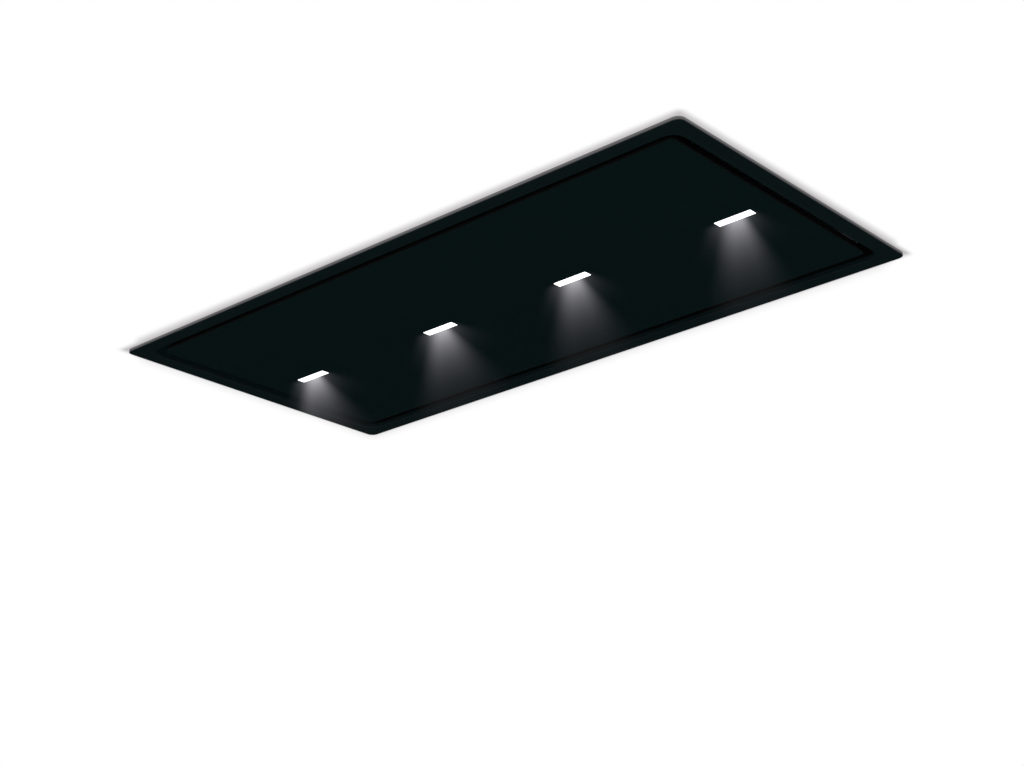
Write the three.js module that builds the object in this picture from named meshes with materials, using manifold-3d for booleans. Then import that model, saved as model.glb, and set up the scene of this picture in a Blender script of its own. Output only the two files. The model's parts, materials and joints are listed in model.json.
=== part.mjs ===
// A ceiling range hood with edge suction: a black panel, hinged along one long side, hangs in a black
// frame with a suction slot all round it. Above the ceiling are the sheet-steel cassette, the filters,
// the blower and the hangers.
// Millimetres, +Z up. The origin is at the middle of the frame, in the plane of the ceiling, and what
// shows in the room lies below z = 0. X runs along the hood and Y across it. The panel's hinges are on
// the +Y side.
import * as THREE from 'three';
import { mergeVertices } from 'three/addons/utils/BufferGeometryUtils.js';
import Module from 'manifold-3d';

const wasm = await Module();
wasm.setup();

// ---------------------------------------------------------------- general
const GAP = 0.3; // between pieces that touch
const SHEET = 1; // galvanised sheet
const BEAD_WIDTH = 16; // pressed stiffening beads
const BEAD_RISE = 2.5;
const ROUND_END = 0.01; // short straight between the two arcs of a round end
const HOLE_PAST = 1; // a cutting tool's reach past the sheet
const FINE_SIDES = 36; // facets of large round pieces
const ROUND_SIDES = 24;
const SMALL_SIDES = 12;

// ---------------------------------------------------------------- frame
const FRAME_LENGTH = 1200;
const FRAME_WIDTH = 600;
const FRAME_DEPTH = 5; // below the ceiling
const FRAME_CORNER = 12;
const FACING_WIDTH = 28; // black strip, from the outer edge to the slot
const FACING_THICK = 2;
const LIP_HEIGHT = 8; // turned-up inner edge, from the underside of the facing
const OPENING_CORNER = 24;
const SEAL_WIDTH = 9;

// ---------------------------------------------------------------- panel
const SLOT_WIDTH = 18;
const PANEL_RECESS = 4; // above the underside of the facing
const PANEL_CORNER = 8;
const GLASS_THICK = 4;
const TRAY_INSET = 6;
const TRAY_DEPTH = 12;
const TRAY_CORNER = 6;
const TRAY_BEAD_FROM_SIDE = 98; // bead's middle, from the tray's long side
const TRAY_BEAD_FROM_END = 78;

// ---------------------------------------------------------------- lights
const LIGHT_LENGTH = 66;
const LIGHT_WIDTH = 16;
const LIGHT_CENTRE_X = 9;
const LIGHT_CENTRE_Y = 9;
const LIGHT_FROM_END = 88; // outer lights' middle, from the panel's end, about the row's middle
const LIGHT_SPACING = 319; // outer light to inner light
const LIGHT_CORNER = 0.8;
const LENS_CLEARANCE = 0.4;
const LENS_STEP = 4; // rim behind the panel
const LENS_RIM = 2;
const HEATSINK_LENGTH = 96;
const HEATSINK_WALL = 4;
const HEATSINK_BASE = 3;
const HEATSINK_HEIGHT = 15;
const HEATSINK_FINS = 5;
const FIN_THICK = 1.6;

// ---------------------------------------------------------------- panel hinges and catches
const HINGE_FROM_END = 154; // middle, from the panel's end
const HINGE_FROM_EDGE = 14; // axis, from the panel's edge
const PIN_RADIUS = 2.5;
const PIN_HEAD_RADIUS = 4.2;
const PIN_HEAD = 2;
const KNUCKLE_WALL = 2.4;
const KNUCKLE_LENGTH = 22;
const LEAF_THICK = 2.2;
const LEAF_REACH = 36;
const LEAF_FOOT = 18; // width of the part that is screwed down
const BRACKET_THICK = 2.5;
const BRACKET_EYE = 4.8;
const BRACKET_FOOT = 62;
const BRACKET_REACH = 26;
const FOOT_CORNER = 3;
const CATCH_FROM_END = 154;
const CATCH_FROM_EDGE = 26;
const CATCH_WIDTH = 32;
const CATCH_DEPTH = 30;
const CATCH_THICK = 2;
const MAGNET_RADIUS = 12;
const MAGNET_HEIGHT = 8;
const STRIKE_SIZE = 34;
const STRIKE_CORNER = 4;
const STRIKE_THICK = 2;

// ---------------------------------------------------------------- cassette and filters
const CASSETTE_GAP = 4; // lip to wall
const CASSETTE_HEIGHT = 95; // above the ceiling plane
const CASSETTE_FLANGE = 10;
const CASSETTE_CORNER = 5;
const CASSETTE_SEAM = 8; // the walls' turned-in edge, under the roof
const CASSETTE_BEAD_LENGTH = 210;
const CASSETTE_BEAD_FROM_END = 150;
const SHELF_Z = 45;
const SHELF_EDGE = 12; // turned down along the walls
const SHELF_END = 42; // strip of shelf between the cassette's end and the first filter
const SHELF_SIDE = 78;
const SHELF_BAR = 26; // between two filters
const FILTER_COUNT = 3;
const FILTER_THICK = 9;
const FILTER_CORNER = 6;
const FILTER_CLEARANCE = 2;
const FILTER_FRAME = 14;
const BAFFLE_COUNT = 10;
const BAFFLE_SLOT = 10;
const BAFFLE_RAIL = 10;
const TAB_WIDTH = 30;
const TAB_REACH = 8;
const TAB_THICK = 1.6;
const TAB_FROM_END = 60; // middle, from the filter's end
const LATCH_BAY_LENGTH = 76;
const LATCH_BAY_WIDTH = 34;
const LATCH_LENGTH = 40;
const LATCH_WIDTH = 26;
const LATCH_THICK = 2;
const LATCH_CORNER = 2;
const LATCH_HOLD = 5; // over the shelf's edge
const LATCH_TRAVEL = 7;
const LATCH_GUIDE = 3;
const CUP_CORNER = 6;
const CUP_FROM_LATCH = 3; // finger cup's middle, behind the middle of the latch bay
const FINGER_LENGTH = 20;
const FINGER_THICK = 3;
const FINGER_DROP = 3;

// ---------------------------------------------------------------- blower
const BLOWER_X = -40; // shaft
const BLOWER_Y = 30;
const WHEEL_RADIUS = 85;
const WHEEL_EYE = 70;
const WHEEL_HEIGHT = 96;
const WHEEL_LIFT = 10; // above the scroll's floor
const WHEEL_PLATE = 2;
const WHEEL_RING = 3;
const BLADE_COUNT = 30;
const BLADE_THICK = 1.3;
const BLADE_SWEEP = 9 * Math.PI / 180;
const HUB_RADIUS = 13;
const HUB_HEIGHT = 16;
const HUB_DRAFT = 2;
const RING_WIDTH = 11; // round the wheel's eye
const SHAFT_RADIUS = 4;
const SCROLL_WALL = 1.2;
const SCROLL_HEIGHT = 119;
const CUTOFF_GAP = 10;
const SCROLL_GROWTH = 53;
const SCROLL_START = -25 * Math.PI / 180;
const SCROLL_END = 270 * Math.PI / 180;
const DUCT_LENGTH = 168; // shaft to the end of the scroll's mouth
const INLET_RADIUS = 86;
const INLET_RISE = 8;
const INLET_FLANGE = 8;
const THROAT_STEP = 2; // inlet ring's throat, wider than the wheel's eye
const MOTOR_RADIUS = 42;
const MOTOR_FLANGE_RADIUS = 52;
const MOTOR_FLANGE = 3;
const MOTOR_HEIGHT = 42;
const MOTOR_EDGE = 2; // rounding of the can's upper edge
const MOTOR_DOME = 7; // from the side to the flat of the top
const MOTOR_CAP = 3; // bearing cap, above the flat
const CAPACITOR_RADIUS = 15;
const CAPACITOR_HEIGHT = 52;
const CAPACITOR_EDGE = 2;
const CAPACITOR_CAP = 1;
const CAPACITOR_X = 120;
const CAPACITOR_Y = 125;
const BOX_LENGTH = 380;
const BOX_WIDTH = 360;
const BOX_HEIGHT = 180;
const BOX_FLANGE = 12;
const BOX_CORNER = 4;
const LID_SKIRT = 10;
const LID_BEAD_Y = 90;
const LID_BEAD_LENGTH = 280;

// ---------------------------------------------------------------- outlet
const COLLAR_RADIUS = 75;
const COLLAR_WALL = 1.2;
const COLLAR_LENGTH = 62;
const COLLAR_FLANGE = 8;
const COLLAR_BEAD = 1.5;
const COLLAR_BEAD_HALF = 3; // half its width
const COLLAR_BEAD_FROM_END = 9;
const COLLAR_LIFT = 86; // axis above the cassette's top
const SPINDLE_RADIUS = 2;
const SPINDLE_FROM_WALL = 26;
const SPINDLE_PROUD = 2;
const FLAP_THICK = 1.2;
const FLAP_CLEARANCE = 1.3;
const FLAP_ROOT = 4;
const FLAP_KNUCKLE_WALL = 1.4;
const MIDDLE_KNUCKLE = [[-0.2, 0.2]]; // shares of the flap's radius
const OUTER_KNUCKLES = [[-0.62, -0.22], [0.22, 0.62]];

// ---------------------------------------------------------------- electrics, on the cassette's top
const CONTROL_FROM_END = 186; // middle, from the cassette's -X end
const CONTROL_FROM_SIDE = 183; // middle, from the cassette's -Y side
const CONTROL_LENGTH = 190;
const CONTROL_WIDTH = 120;
const CONTROL_HEIGHT = 46;
const CONTROL_WALL = 1.5;
const CONTROL_CORNER = 5;
const COVER_SKIRT = 10;
const BOARD_THICK = 1.6;
const BOARD_MARGIN = 8;
const BOARD_CORNER = 2;
const RELAY_COUNT = 3;
const RELAY_PITCH = 20;
const RELAY_WIDTH = 16;
const RELAY_DEPTH = 20;
const RELAY_HEIGHT = 16;
const RELAY_MARGIN = 8; // from the board's edge
const TRANSFORMER_LENGTH = 38;
const TRANSFORMER_WIDTH = 34;
const TRANSFORMER_HEIGHT = 26;
const TRANSFORMER_MARGIN = 14;
const TERMINAL_LENGTH = 60;
const TERMINAL_DEPTH = 14;
const TERMINAL_HEIGHT = 12;
const TERMINAL_MARGIN = 4;
const BOSS_RADIUS = 3.5;
const BOSS_HEIGHT = 6;
const GLAND_RADIUS = 9;
const GLAND_BORE = 3.8;
const GLAND_HEX = 12.5; // corner of its nut, from the middle
const GLAND_NUT = 8;
const GLAND_LENGTH = 22;
const GLAND_TAPER = 4;
const GLAND_INSIDE = 6; // thread that stands into the box
const DRIVER_FROM_END = 186;
const DRIVER_FROM_SIDE = 193; // middle, from the cassette's +Y side
const DRIVER_LENGTH = 150;
const DRIVER_WIDTH = 44;
const DRIVER_HEIGHT = 28;
const DRIVER_EAR = 14;
const DRIVER_EAR_THICK = 3;
const DRIVER_EAR_WIDTH = 26;
const DRIVER_EAR_CORNER = 5;
const DRIVER_CHAMFER = 5;
const SCREW_HOLE = 2.2;

// ---------------------------------------------------------------- hangers
const HANGER_FROM_END = 58; // middle, from the cassette's end
const HANGER_FROM_SIDE = 73; // back of the channel, from the cassette's side
const HANGER_WIDTH = 50;
const HANGER_THICK = 2;
const HANGER_HEIGHT = 120;
const HANGER_FOOT = 34;
const HANGER_LIP = 8;
const HANGER_CORNER = 4;
const CLAMP_BOLT_DROP = 25; // bolt hole, below the channel's top
const SLIDER_LIFT = 14; // lower end above the hanger's foot
const SLIDER_HEIGHT = 176;
const SLIDER_FOOT = 40;
const SLIDER_SLOT = 8.4;
const SLIDER_SLOT_LENGTH = 96;
const SLIDER_SLOT_DROP = 96; // slot's middle, below the slider's top
const ANCHOR_HOLE = 4.5;
const BASE_HOLE_REACH = 11; // hole in the foot, from the back of the channel
const SLIDER_HOLE_REACH = 24;

// ---------------------------------------------------------------- places that follow from the sizes above
const FACE_Z = -FRAME_DEPTH;
const WEB_Z = FACE_Z + FACING_THICK + GAP; // underside of the rim's web
const WEB_TOP = WEB_Z + SHEET;
const LIP_TOP = FACE_Z + LIP_HEIGHT;
const OPENING_LENGTH = FRAME_LENGTH - 2 * FACING_WIDTH;
const OPENING_WIDTH = FRAME_WIDTH - 2 * FACING_WIDTH;

const PANEL_LENGTH = OPENING_LENGTH - 2 * SLOT_WIDTH;
const PANEL_WIDTH = OPENING_WIDTH - 2 * SLOT_WIDTH;
const GLASS_Z = FACE_Z + PANEL_RECESS;
const GLASS_TOP = GLASS_Z + GLASS_THICK;
const TRAY_LENGTH = PANEL_LENGTH - 2 * TRAY_INSET;
const TRAY_WIDTH = PANEL_WIDTH - 2 * TRAY_INSET;
const TRAY_Z = GLASS_TOP + GAP;
const TRAY_FLOOR = TRAY_Z + SHEET;
const ON_TRAY = TRAY_FLOOR + GAP;

const TRAY_BEAD_Y = TRAY_WIDTH / 2 - TRAY_BEAD_FROM_SIDE;
const TRAY_BEAD_LENGTH = TRAY_LENGTH - 2 * TRAY_BEAD_FROM_END;

const LIGHT_OUTER = PANEL_LENGTH / 2 - LIGHT_FROM_END;
const LIGHT_INNER = LIGHT_OUTER - LIGHT_SPACING;
const LIGHT_XS = [-LIGHT_OUTER, -LIGHT_INNER, LIGHT_INNER, LIGHT_OUTER].map((x) => LIGHT_CENTRE_X + x);

const KNUCKLE_BORE = PIN_RADIUS + GAP;
const KNUCKLE_RADIUS = KNUCKLE_BORE + KNUCKLE_WALL;
const HINGE_X = PANEL_LENGTH / 2 - HINGE_FROM_END;
const HINGE_Y = PANEL_WIDTH / 2 - HINGE_FROM_EDGE;
const HINGE_Z = ON_TRAY + KNUCKLE_RADIUS;
const CHEEK_X = KNUCKLE_LENGTH / 2 + GAP; // inner face of a bracket's cheek, from the hinge's middle
const UNDER_SHELF = SHELF_Z - GAP;
const CATCH_X = PANEL_LENGTH / 2 - CATCH_FROM_END;
const CATCH_Y = CATCH_FROM_EDGE - PANEL_WIDTH / 2;

const CASSETTE_LENGTH = OPENING_LENGTH + 2 * (SHEET + CASSETTE_GAP + SHEET);
const CASSETTE_WIDTH = OPENING_WIDTH + 2 * (SHEET + CASSETTE_GAP + SHEET);
const CASSETTE_Z = WEB_TOP + GAP;
const ON_CASSETTE = CASSETTE_HEIGHT + GAP;

const SHELF_BARS = (FILTER_COUNT - 1) * SHELF_BAR;
const FILTER_LENGTH = (CASSETTE_LENGTH - 2 * SHELF_END - SHELF_BARS) / FILTER_COUNT;
const FILTER_WIDTH = CASSETTE_WIDTH - 2 * SHELF_SIDE;
const FILTER_PITCH = FILTER_LENGTH + SHELF_BAR;
const FILTER_TOP = SHELF_Z + SHEET; // level with the shelf's top
const FILTER_Z = FILTER_TOP - FILTER_THICK;
const FILTER_XS = Array.from({ length: FILTER_COUNT }, (_, i) => (
  (i - (FILTER_COUNT - 1) / 2) * FILTER_PITCH
));
const TAB_X = FILTER_LENGTH / 2 - TAB_FROM_END;
const LATCH_Z = FILTER_TOP + GAP;
const FILTER_FRONT = -FILTER_WIDTH / 2;
const LATCH_FRONT = FILTER_FRONT - FILTER_CLEARANCE - LATCH_HOLD;
const FINGER_Y = FILTER_FRONT + FILTER_FRAME - FINGER_THICK;

const SCROLL_FLOOR = ON_CASSETTE + SCROLL_WALL;
const SCROLL_TOP = ON_CASSETTE + SCROLL_HEIGHT;
const SCROLL_RADIUS = WHEEL_RADIUS + CUTOFF_GAP;
const TONGUE_Y = SCROLL_RADIUS * Math.sin(SCROLL_START); // from the shaft
const MOUTH_Y = -(SCROLL_RADIUS + SCROLL_GROWTH);
const WHEEL_Z = SCROLL_FLOOR + WHEEL_LIFT;
const WHEEL_TOP = WHEEL_Z + WHEEL_HEIGHT;
const COVER_Z = SCROLL_TOP + GAP;
const MOTOR_Z = COVER_Z + SCROLL_WALL + GAP;
const BOX_TOP = ON_CASSETTE + BOX_HEIGHT;
const LID_Z = BOX_TOP + GAP;

const OUTLET_Y = BLOWER_Y + (TONGUE_Y + MOUTH_Y) / 2;
const OUTLET_Z = CASSETTE_HEIGHT + COLLAR_LIFT;
const COLLAR_X = BOX_LENGTH / 2 + GAP;
const COLLAR_BORE = COLLAR_RADIUS - COLLAR_WALL;
const SPINDLE_X = COLLAR_X + SPINDLE_FROM_WALL;
const FLAP_RADIUS = COLLAR_BORE - FLAP_CLEARANCE;
const FLAP_KNUCKLE = SPINDLE_RADIUS + GAP + FLAP_KNUCKLE_WALL;

const CONTROL_X = CONTROL_FROM_END - CASSETTE_LENGTH / 2;
const CONTROL_Y = CONTROL_FROM_SIDE - CASSETTE_WIDTH / 2;
const CONTROL_FLOOR = ON_CASSETTE + CONTROL_WALL;
const BOARD_Z = CONTROL_FLOOR + BOSS_HEIGHT + GAP;
const DRIVER_X = DRIVER_FROM_END - CASSETTE_LENGTH / 2;
const DRIVER_Y = CASSETTE_WIDTH / 2 - DRIVER_FROM_SIDE;

const HANGER_X = CASSETTE_LENGTH / 2 - HANGER_FROM_END;
const HANGER_Y = CASSETTE_WIDTH / 2 - HANGER_FROM_SIDE;
const HANGER_TOP = ON_CASSETTE + HANGER_HEIGHT;
const SLIDER_Z = ON_CASSETTE + HANGER_THICK + SLIDER_LIFT;
const SLIDER_TOP = SLIDER_Z + SLIDER_HEIGHT;

// ---------------------------------------------------------------- finishes
const FINISHES = {
  blackGlass: [0x070c0d, 0.28, 0],
  blackPaint: [0x070c0d, 0.45, 0],
  blackSheet: [0x0b0d0e, 0.6, 0.2],
  brushedSteel: [0x9b9ea0, 0.35, 1],
  zinc: [0xa7adb0, 0.42, 0.9],
  aluminium: [0xb9bcbe, 0.4, 0.95],
  castAluminium: [0x9a9d9f, 0.55, 0.9],
  steel: [0x8e9193, 0.38, 1],
  foam: [0x2a2b2c, 0.95, 0],
  diffuser: [0xffffff, 0.35, 0],
  magnet: [0x55585a, 0.4, 0.8],
  greyPlastic: [0xc9cbc8, 0.6, 0],
  blackPlastic: [0x1a1b1c, 0.55, 0],
  board: [0x1d5a34, 0.55, 0],
};

const hood = new THREE.Group();

/** A named sub-assembly of the hood. */
function assembly() {
  const group = new THREE.Group();
  hood.add(group);
  return group;
}

/** Puts a finished solid into its sub-assembly as a named piece. */
function place(group, name, finish, body) {
  const [color, roughness, metalness] = FINISHES[finish];
  const { vertProperties, triVerts } = body.getMesh();
  const geometry = new THREE.BufferGeometry();
  geometry.setAttribute('position', new THREE.BufferAttribute(vertProperties, 3));
  geometry.setIndex(new THREE.BufferAttribute(triVerts, 1));
  geometry.computeVertexNormals();
  const mesh = new THREE.Mesh(geometry, new THREE.MeshStandardMaterial({ color, roughness, metalness }));
  mesh.name = name;
  group.add(mesh);
}

// ---------------------------------------------------------------- solids
/** Turns a closed geometry into a solid that can be joined and cut. */
function solid(geometry) {
  geometry.deleteAttribute('normal');
  geometry.deleteAttribute('uv');
  const merged = mergeVertices(geometry);
  const index = merged.index.array;
  const triangles = [];
  for (let i = 0; i < index.length; i += 3) {
    const [a, b, c] = [index[i], index[i + 1], index[i + 2]];
    if (a !== b && b !== c && c !== a) triangles.push(a, b, c);
  }
  return new wasm.Manifold(new wasm.Mesh({
    numProp: 3,
    vertProperties: new Float32Array(merged.attributes.position.array),
    triVerts: new Uint32Array(triangles),
  }));
}

/** Joins solids into one. */
function join(...parts) {
  return parts.reduce((whole, part) => whole.add(part));
}

/** Takes solids away from the first one. */
function cut(whole, ...parts) {
  return parts.reduce((rest, part) => rest.subtract(part), whole);
}

/** A block between two values on each axis. */
function block(x0, x1, y0, y1, z0, z1) {
  const geometry = new THREE.BoxGeometry(x1 - x0, y1 - y0, z1 - z0);
  geometry.translate((x0 + x1) / 2, (y0 + y1) / 2, (z0 + z1) / 2);
  return solid(geometry);
}

/** A rectangular outline with round corners. */
function roundedRect(length, width, radius, x = 0, y = 0) {
  const steps = THREE.MathUtils.clamp(Math.ceil(radius / 3), 1, 4);
  const points = [];
  [[1, -1], [1, 1], [-1, 1], [-1, -1]].forEach(([endX, endY], corner) => {
    for (let i = 0; i <= steps; i += 1) {
      const angle = (corner - 1 + i / steps) * Math.PI / 2;
      points.push(new THREE.Vector2(
        x + endX * (length / 2 - radius) + radius * Math.cos(angle),
        y + endY * (width / 2 - radius) + radius * Math.sin(angle),
      ));
    }
  });
  return new THREE.Shape(points);
}

/** A round outline with a given number of sides. */
function circle(radius, x, y, sides = SMALL_SIDES) {
  const points = Array.from({ length: sides }, (_, i) => {
    const angle = i * 2 * Math.PI / sides;
    return new THREE.Vector2(x + radius * Math.cos(angle), y + radius * Math.sin(angle));
  });
  return new THREE.Shape(points);
}

/** An outline through points given as pairs. */
function polygon(...pairs) {
  return new THREE.Shape(pairs.map(([u, v]) => new THREE.Vector2(u, v)));
}

/** An outline drawn in plan, with its holes, between two heights. */
function plate(outline, z0, z1, holes = []) {
  outline.holes = holes;
  const geometry = new THREE.ExtrudeGeometry(outline, { depth: z1 - z0, bevelEnabled: false });
  geometry.translate(0, 0, z0);
  return solid(geometry);
}

const ALONG_X = new THREE.Matrix4().makeBasis(
  new THREE.Vector3(0, 1, 0),
  new THREE.Vector3(0, 0, 1),
  new THREE.Vector3(1, 0, 0),
);

/** A section drawn in Y and Z, between two values of X. */
function sectionAlongX(outline, x0, x1, holes = []) {
  outline.holes = holes;
  const settings = { depth: x1 - x0, bevelEnabled: false, curveSegments: 5 };
  const geometry = new THREE.ExtrudeGeometry(outline, settings);
  geometry.applyMatrix4(ALONG_X);
  geometry.translate(x0, 0, 0);
  return solid(geometry);
}

/** An outline drawn in X and Z, between two values of Y. */
function sectionAlongY(outline, y0, y1) {
  const geometry = new THREE.ExtrudeGeometry(outline, { depth: y1 - y0, bevelEnabled: false });
  geometry.rotateX(Math.PI / 2);
  geometry.translate(0, y1, 0);
  return solid(geometry);
}

/** A profile of [radius, height] pairs turned round the vertical through x, y. */
function turned(profile, x, y, sides = ROUND_SIDES) {
  const geometry = new THREE.LatheGeometry(profile.map(([r, z]) => new THREE.Vector2(r, z)), sides);
  geometry.rotateX(Math.PI / 2);
  geometry.translate(x, y, 0);
  return solid(geometry);
}

/** A profile of [radius, x] pairs turned round the line along X through y, z. */
function turnedOnX(profile, y, z, sides = SMALL_SIDES) {
  const geometry = new THREE.LatheGeometry(profile.map(([r, x]) => new THREE.Vector2(r, x)), sides);
  geometry.rotateZ(-Math.PI / 2);
  geometry.translate(0, y, z);
  return solid(geometry);
}

/** A closed profile for a plain ring. */
function ringProfile(inner, outer, from, to) {
  return [[inner, from], [outer, from], [outer, to], [inner, to], [inner, from]];
}

/** A solid of revolution's profile for a plain round bar. */
function barProfile(radius, from, to) {
  return [[0, from], [radius, from], [radius, to], [0, to]];
}

/** Presses a hollow stiffening bead, running along X, into a sheet that lies between z and z + SHEET. */
function pressBead(sheet, length, x, y, z) {
  const end = BEAD_WIDTH / 2 - ROUND_END;
  const ridge = roundedRect(length, BEAD_WIDTH, end, x, y);
  const groove = roundedRect(length - 2 * SHEET, BEAD_WIDTH - 2 * SHEET, end - SHEET, x, y);
  return sheet
    .add(plate(ridge, z, z + SHEET + BEAD_RISE))
    .subtract(plate(groove, z - HOLE_PAST, z + BEAD_RISE));
}

/** Calls make(sign, number) for the two ends of a pair. */
function both(make) {
  [-1, 1].forEach((sign, i) => make(sign, i + 1));
}

// ---------------------------------------------------------------- frame
function buildFrame() {
  const group = assembly();
  const opening = () => roundedRect(OPENING_LENGTH, OPENING_WIDTH, OPENING_CORNER);
  const behindRim = 2 * (SHEET + GAP);
  const facing = roundedRect(FRAME_LENGTH - behindRim, FRAME_WIDTH - behindRim, FRAME_CORNER - behindRim / 2);
  place(group, 'facing_frame', 'blackPaint', plate(facing, FACE_Z, FACE_Z + FACING_THICK, [opening()]));

  const outer = () => roundedRect(FRAME_LENGTH, FRAME_WIDTH, FRAME_CORNER);
  const inside = roundedRect(FRAME_LENGTH - 2 * SHEET, FRAME_WIDTH - 2 * SHEET, FRAME_CORNER - SHEET);
  const lip = roundedRect(OPENING_LENGTH + 2 * SHEET, OPENING_WIDTH + 2 * SHEET, OPENING_CORNER + SHEET);
  const rim = join(
    plate(outer(), FACE_Z, 0, [inside]),
    plate(outer(), WEB_Z, WEB_TOP, [opening()]),
    plate(lip, WEB_Z, LIP_TOP, [opening()]),
  );
  place(group, 'rim_frame', 'brushedSteel', rim);

  const sealOut = SHEET + GAP;
  const sealIn = sealOut + SEAL_WIDTH;
  const sealOuter = roundedRect(
    FRAME_LENGTH - 2 * sealOut,
    FRAME_WIDTH - 2 * sealOut,
    FRAME_CORNER - sealOut,
  );
  const sealInner = roundedRect(FRAME_LENGTH - 2 * sealIn, FRAME_WIDTH - 2 * sealIn, CASSETTE_CORNER);
  place(group, 'ceiling_seal', 'foam', plate(sealOuter, WEB_TOP + GAP, 0, [sealInner]));
}

// ---------------------------------------------------------------- panel
function buildPanel() {
  const group = assembly();
  const windows = () => LIGHT_XS.map((x) => roundedRect(
    LIGHT_LENGTH + 2 * LENS_CLEARANCE,
    LIGHT_WIDTH + 2 * LENS_CLEARANCE,
    LIGHT_CORNER,
    x,
    LIGHT_CENTRE_Y,
  ));
  const glass = roundedRect(PANEL_LENGTH, PANEL_WIDTH, PANEL_CORNER);
  place(group, 'panel_glass', 'blackGlass', plate(glass, GLASS_Z, GLASS_TOP, windows()));

  const outline = () => roundedRect(TRAY_LENGTH, TRAY_WIDTH, TRAY_CORNER);
  const inside = roundedRect(TRAY_LENGTH - 2 * SHEET, TRAY_WIDTH - 2 * SHEET, TRAY_CORNER - SHEET);
  let tray = join(
    plate(outline(), TRAY_Z, TRAY_FLOOR, windows()),
    plate(outline(), TRAY_Z, TRAY_Z + TRAY_DEPTH, [inside]),
  );
  const notch = CHEEK_X + BRACKET_THICK + PIN_HEAD + LEAF_THICK;
  const rear = TRAY_WIDTH / 2;
  both((side) => {
    tray = pressBead(tray, TRAY_BEAD_LENGTH, 0, side * TRAY_BEAD_Y, TRAY_Z);
    tray = cut(tray, block(
      side * HINGE_X - notch,
      side * HINGE_X + notch,
      rear - SHEET - HOLE_PAST,
      rear + HOLE_PAST,
      TRAY_FLOOR,
      TRAY_Z + TRAY_DEPTH + HOLE_PAST,
    ));
  });
  place(group, 'panel_tray', 'zinc', tray);
}

// ---------------------------------------------------------------- lights
/** The finned section of a heat sink, open below where it clasps the lens. */
function heatsinkSection() {
  const half = LIGHT_WIDTH / 2 + LENS_STEP + GAP + HEATSINK_WALL;
  const clasp = half - HEATSINK_WALL;
  const deck = ON_TRAY + LENS_RIM + GAP;
  const base = deck + HEATSINK_BASE;
  const top = ON_TRAY + HEATSINK_HEIGHT;
  const points = [
    [-half, ON_TRAY],
    [-clasp, ON_TRAY],
    [-clasp, deck],
    [clasp, deck],
    [clasp, ON_TRAY],
    [half, ON_TRAY],
  ];
  const pitch = (2 * half - FIN_THICK) / (HEATSINK_FINS - 1);
  for (let i = HEATSINK_FINS - 1; i >= 0; i -= 1) {
    const left = -half + i * pitch;
    if (i < HEATSINK_FINS - 1) points.push([left + FIN_THICK, base]);
    points.push([left + FIN_THICK, top], [left, top]);
    if (i > 0) points.push([left, base]);
  }
  return polygon(...points.map(([y, z]) => [y + LIGHT_CENTRE_Y, z]));
}

function buildLights() {
  const group = assembly();
  LIGHT_XS.forEach((x, i) => {
    const face = roundedRect(LIGHT_LENGTH, LIGHT_WIDTH, LIGHT_CORNER, x, LIGHT_CENTRE_Y);
    const rim = roundedRect(
      LIGHT_LENGTH + 2 * LENS_STEP,
      LIGHT_WIDTH + 2 * LENS_STEP,
      LIGHT_CORNER,
      x,
      LIGHT_CENTRE_Y,
    );
    const lens = join(plate(face, GLASS_Z, ON_TRAY), plate(rim, ON_TRAY, ON_TRAY + LENS_RIM));
    place(group, `light_lens_${i + 1}`, 'diffuser', lens);
    const half = HEATSINK_LENGTH / 2;
    const heatsink = sectionAlongX(heatsinkSection(), x - half, x + half);
    place(group, `light_heatsink_${i + 1}`, 'aluminium', heatsink);
  });
}

// ---------------------------------------------------------------- panel hinges and catches
/** A leaf whose end is rolled round the pin, lying on the tray. */
function hingeLeaf(x) {
  const half = KNUCKLE_LENGTH / 2;
  const strip = polygon(
    [HINGE_Y - LEAF_REACH, ON_TRAY],
    [HINGE_Y, ON_TRAY],
    [HINGE_Y, ON_TRAY + LEAF_THICK],
    [HINGE_Y - LEAF_REACH, ON_TRAY + LEAF_THICK],
  );
  const foot = roundedRect(BRACKET_FOOT, LEAF_FOOT, FOOT_CORNER, x, HINGE_Y - LEAF_REACH + LEAF_FOOT / 2);
  const leaf = join(
    sectionAlongX(strip, x - half, x + half),
    sectionAlongX(circle(KNUCKLE_RADIUS, HINGE_Y, HINGE_Z, 20), x - half, x + half),
    plate(foot, ON_TRAY, ON_TRAY + LEAF_THICK),
  );
  const bore = circle(KNUCKLE_BORE, HINGE_Y, HINGE_Z);
  return cut(leaf, sectionAlongX(bore, x - half - HOLE_PAST, x + half + HOLE_PAST));
}

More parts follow.
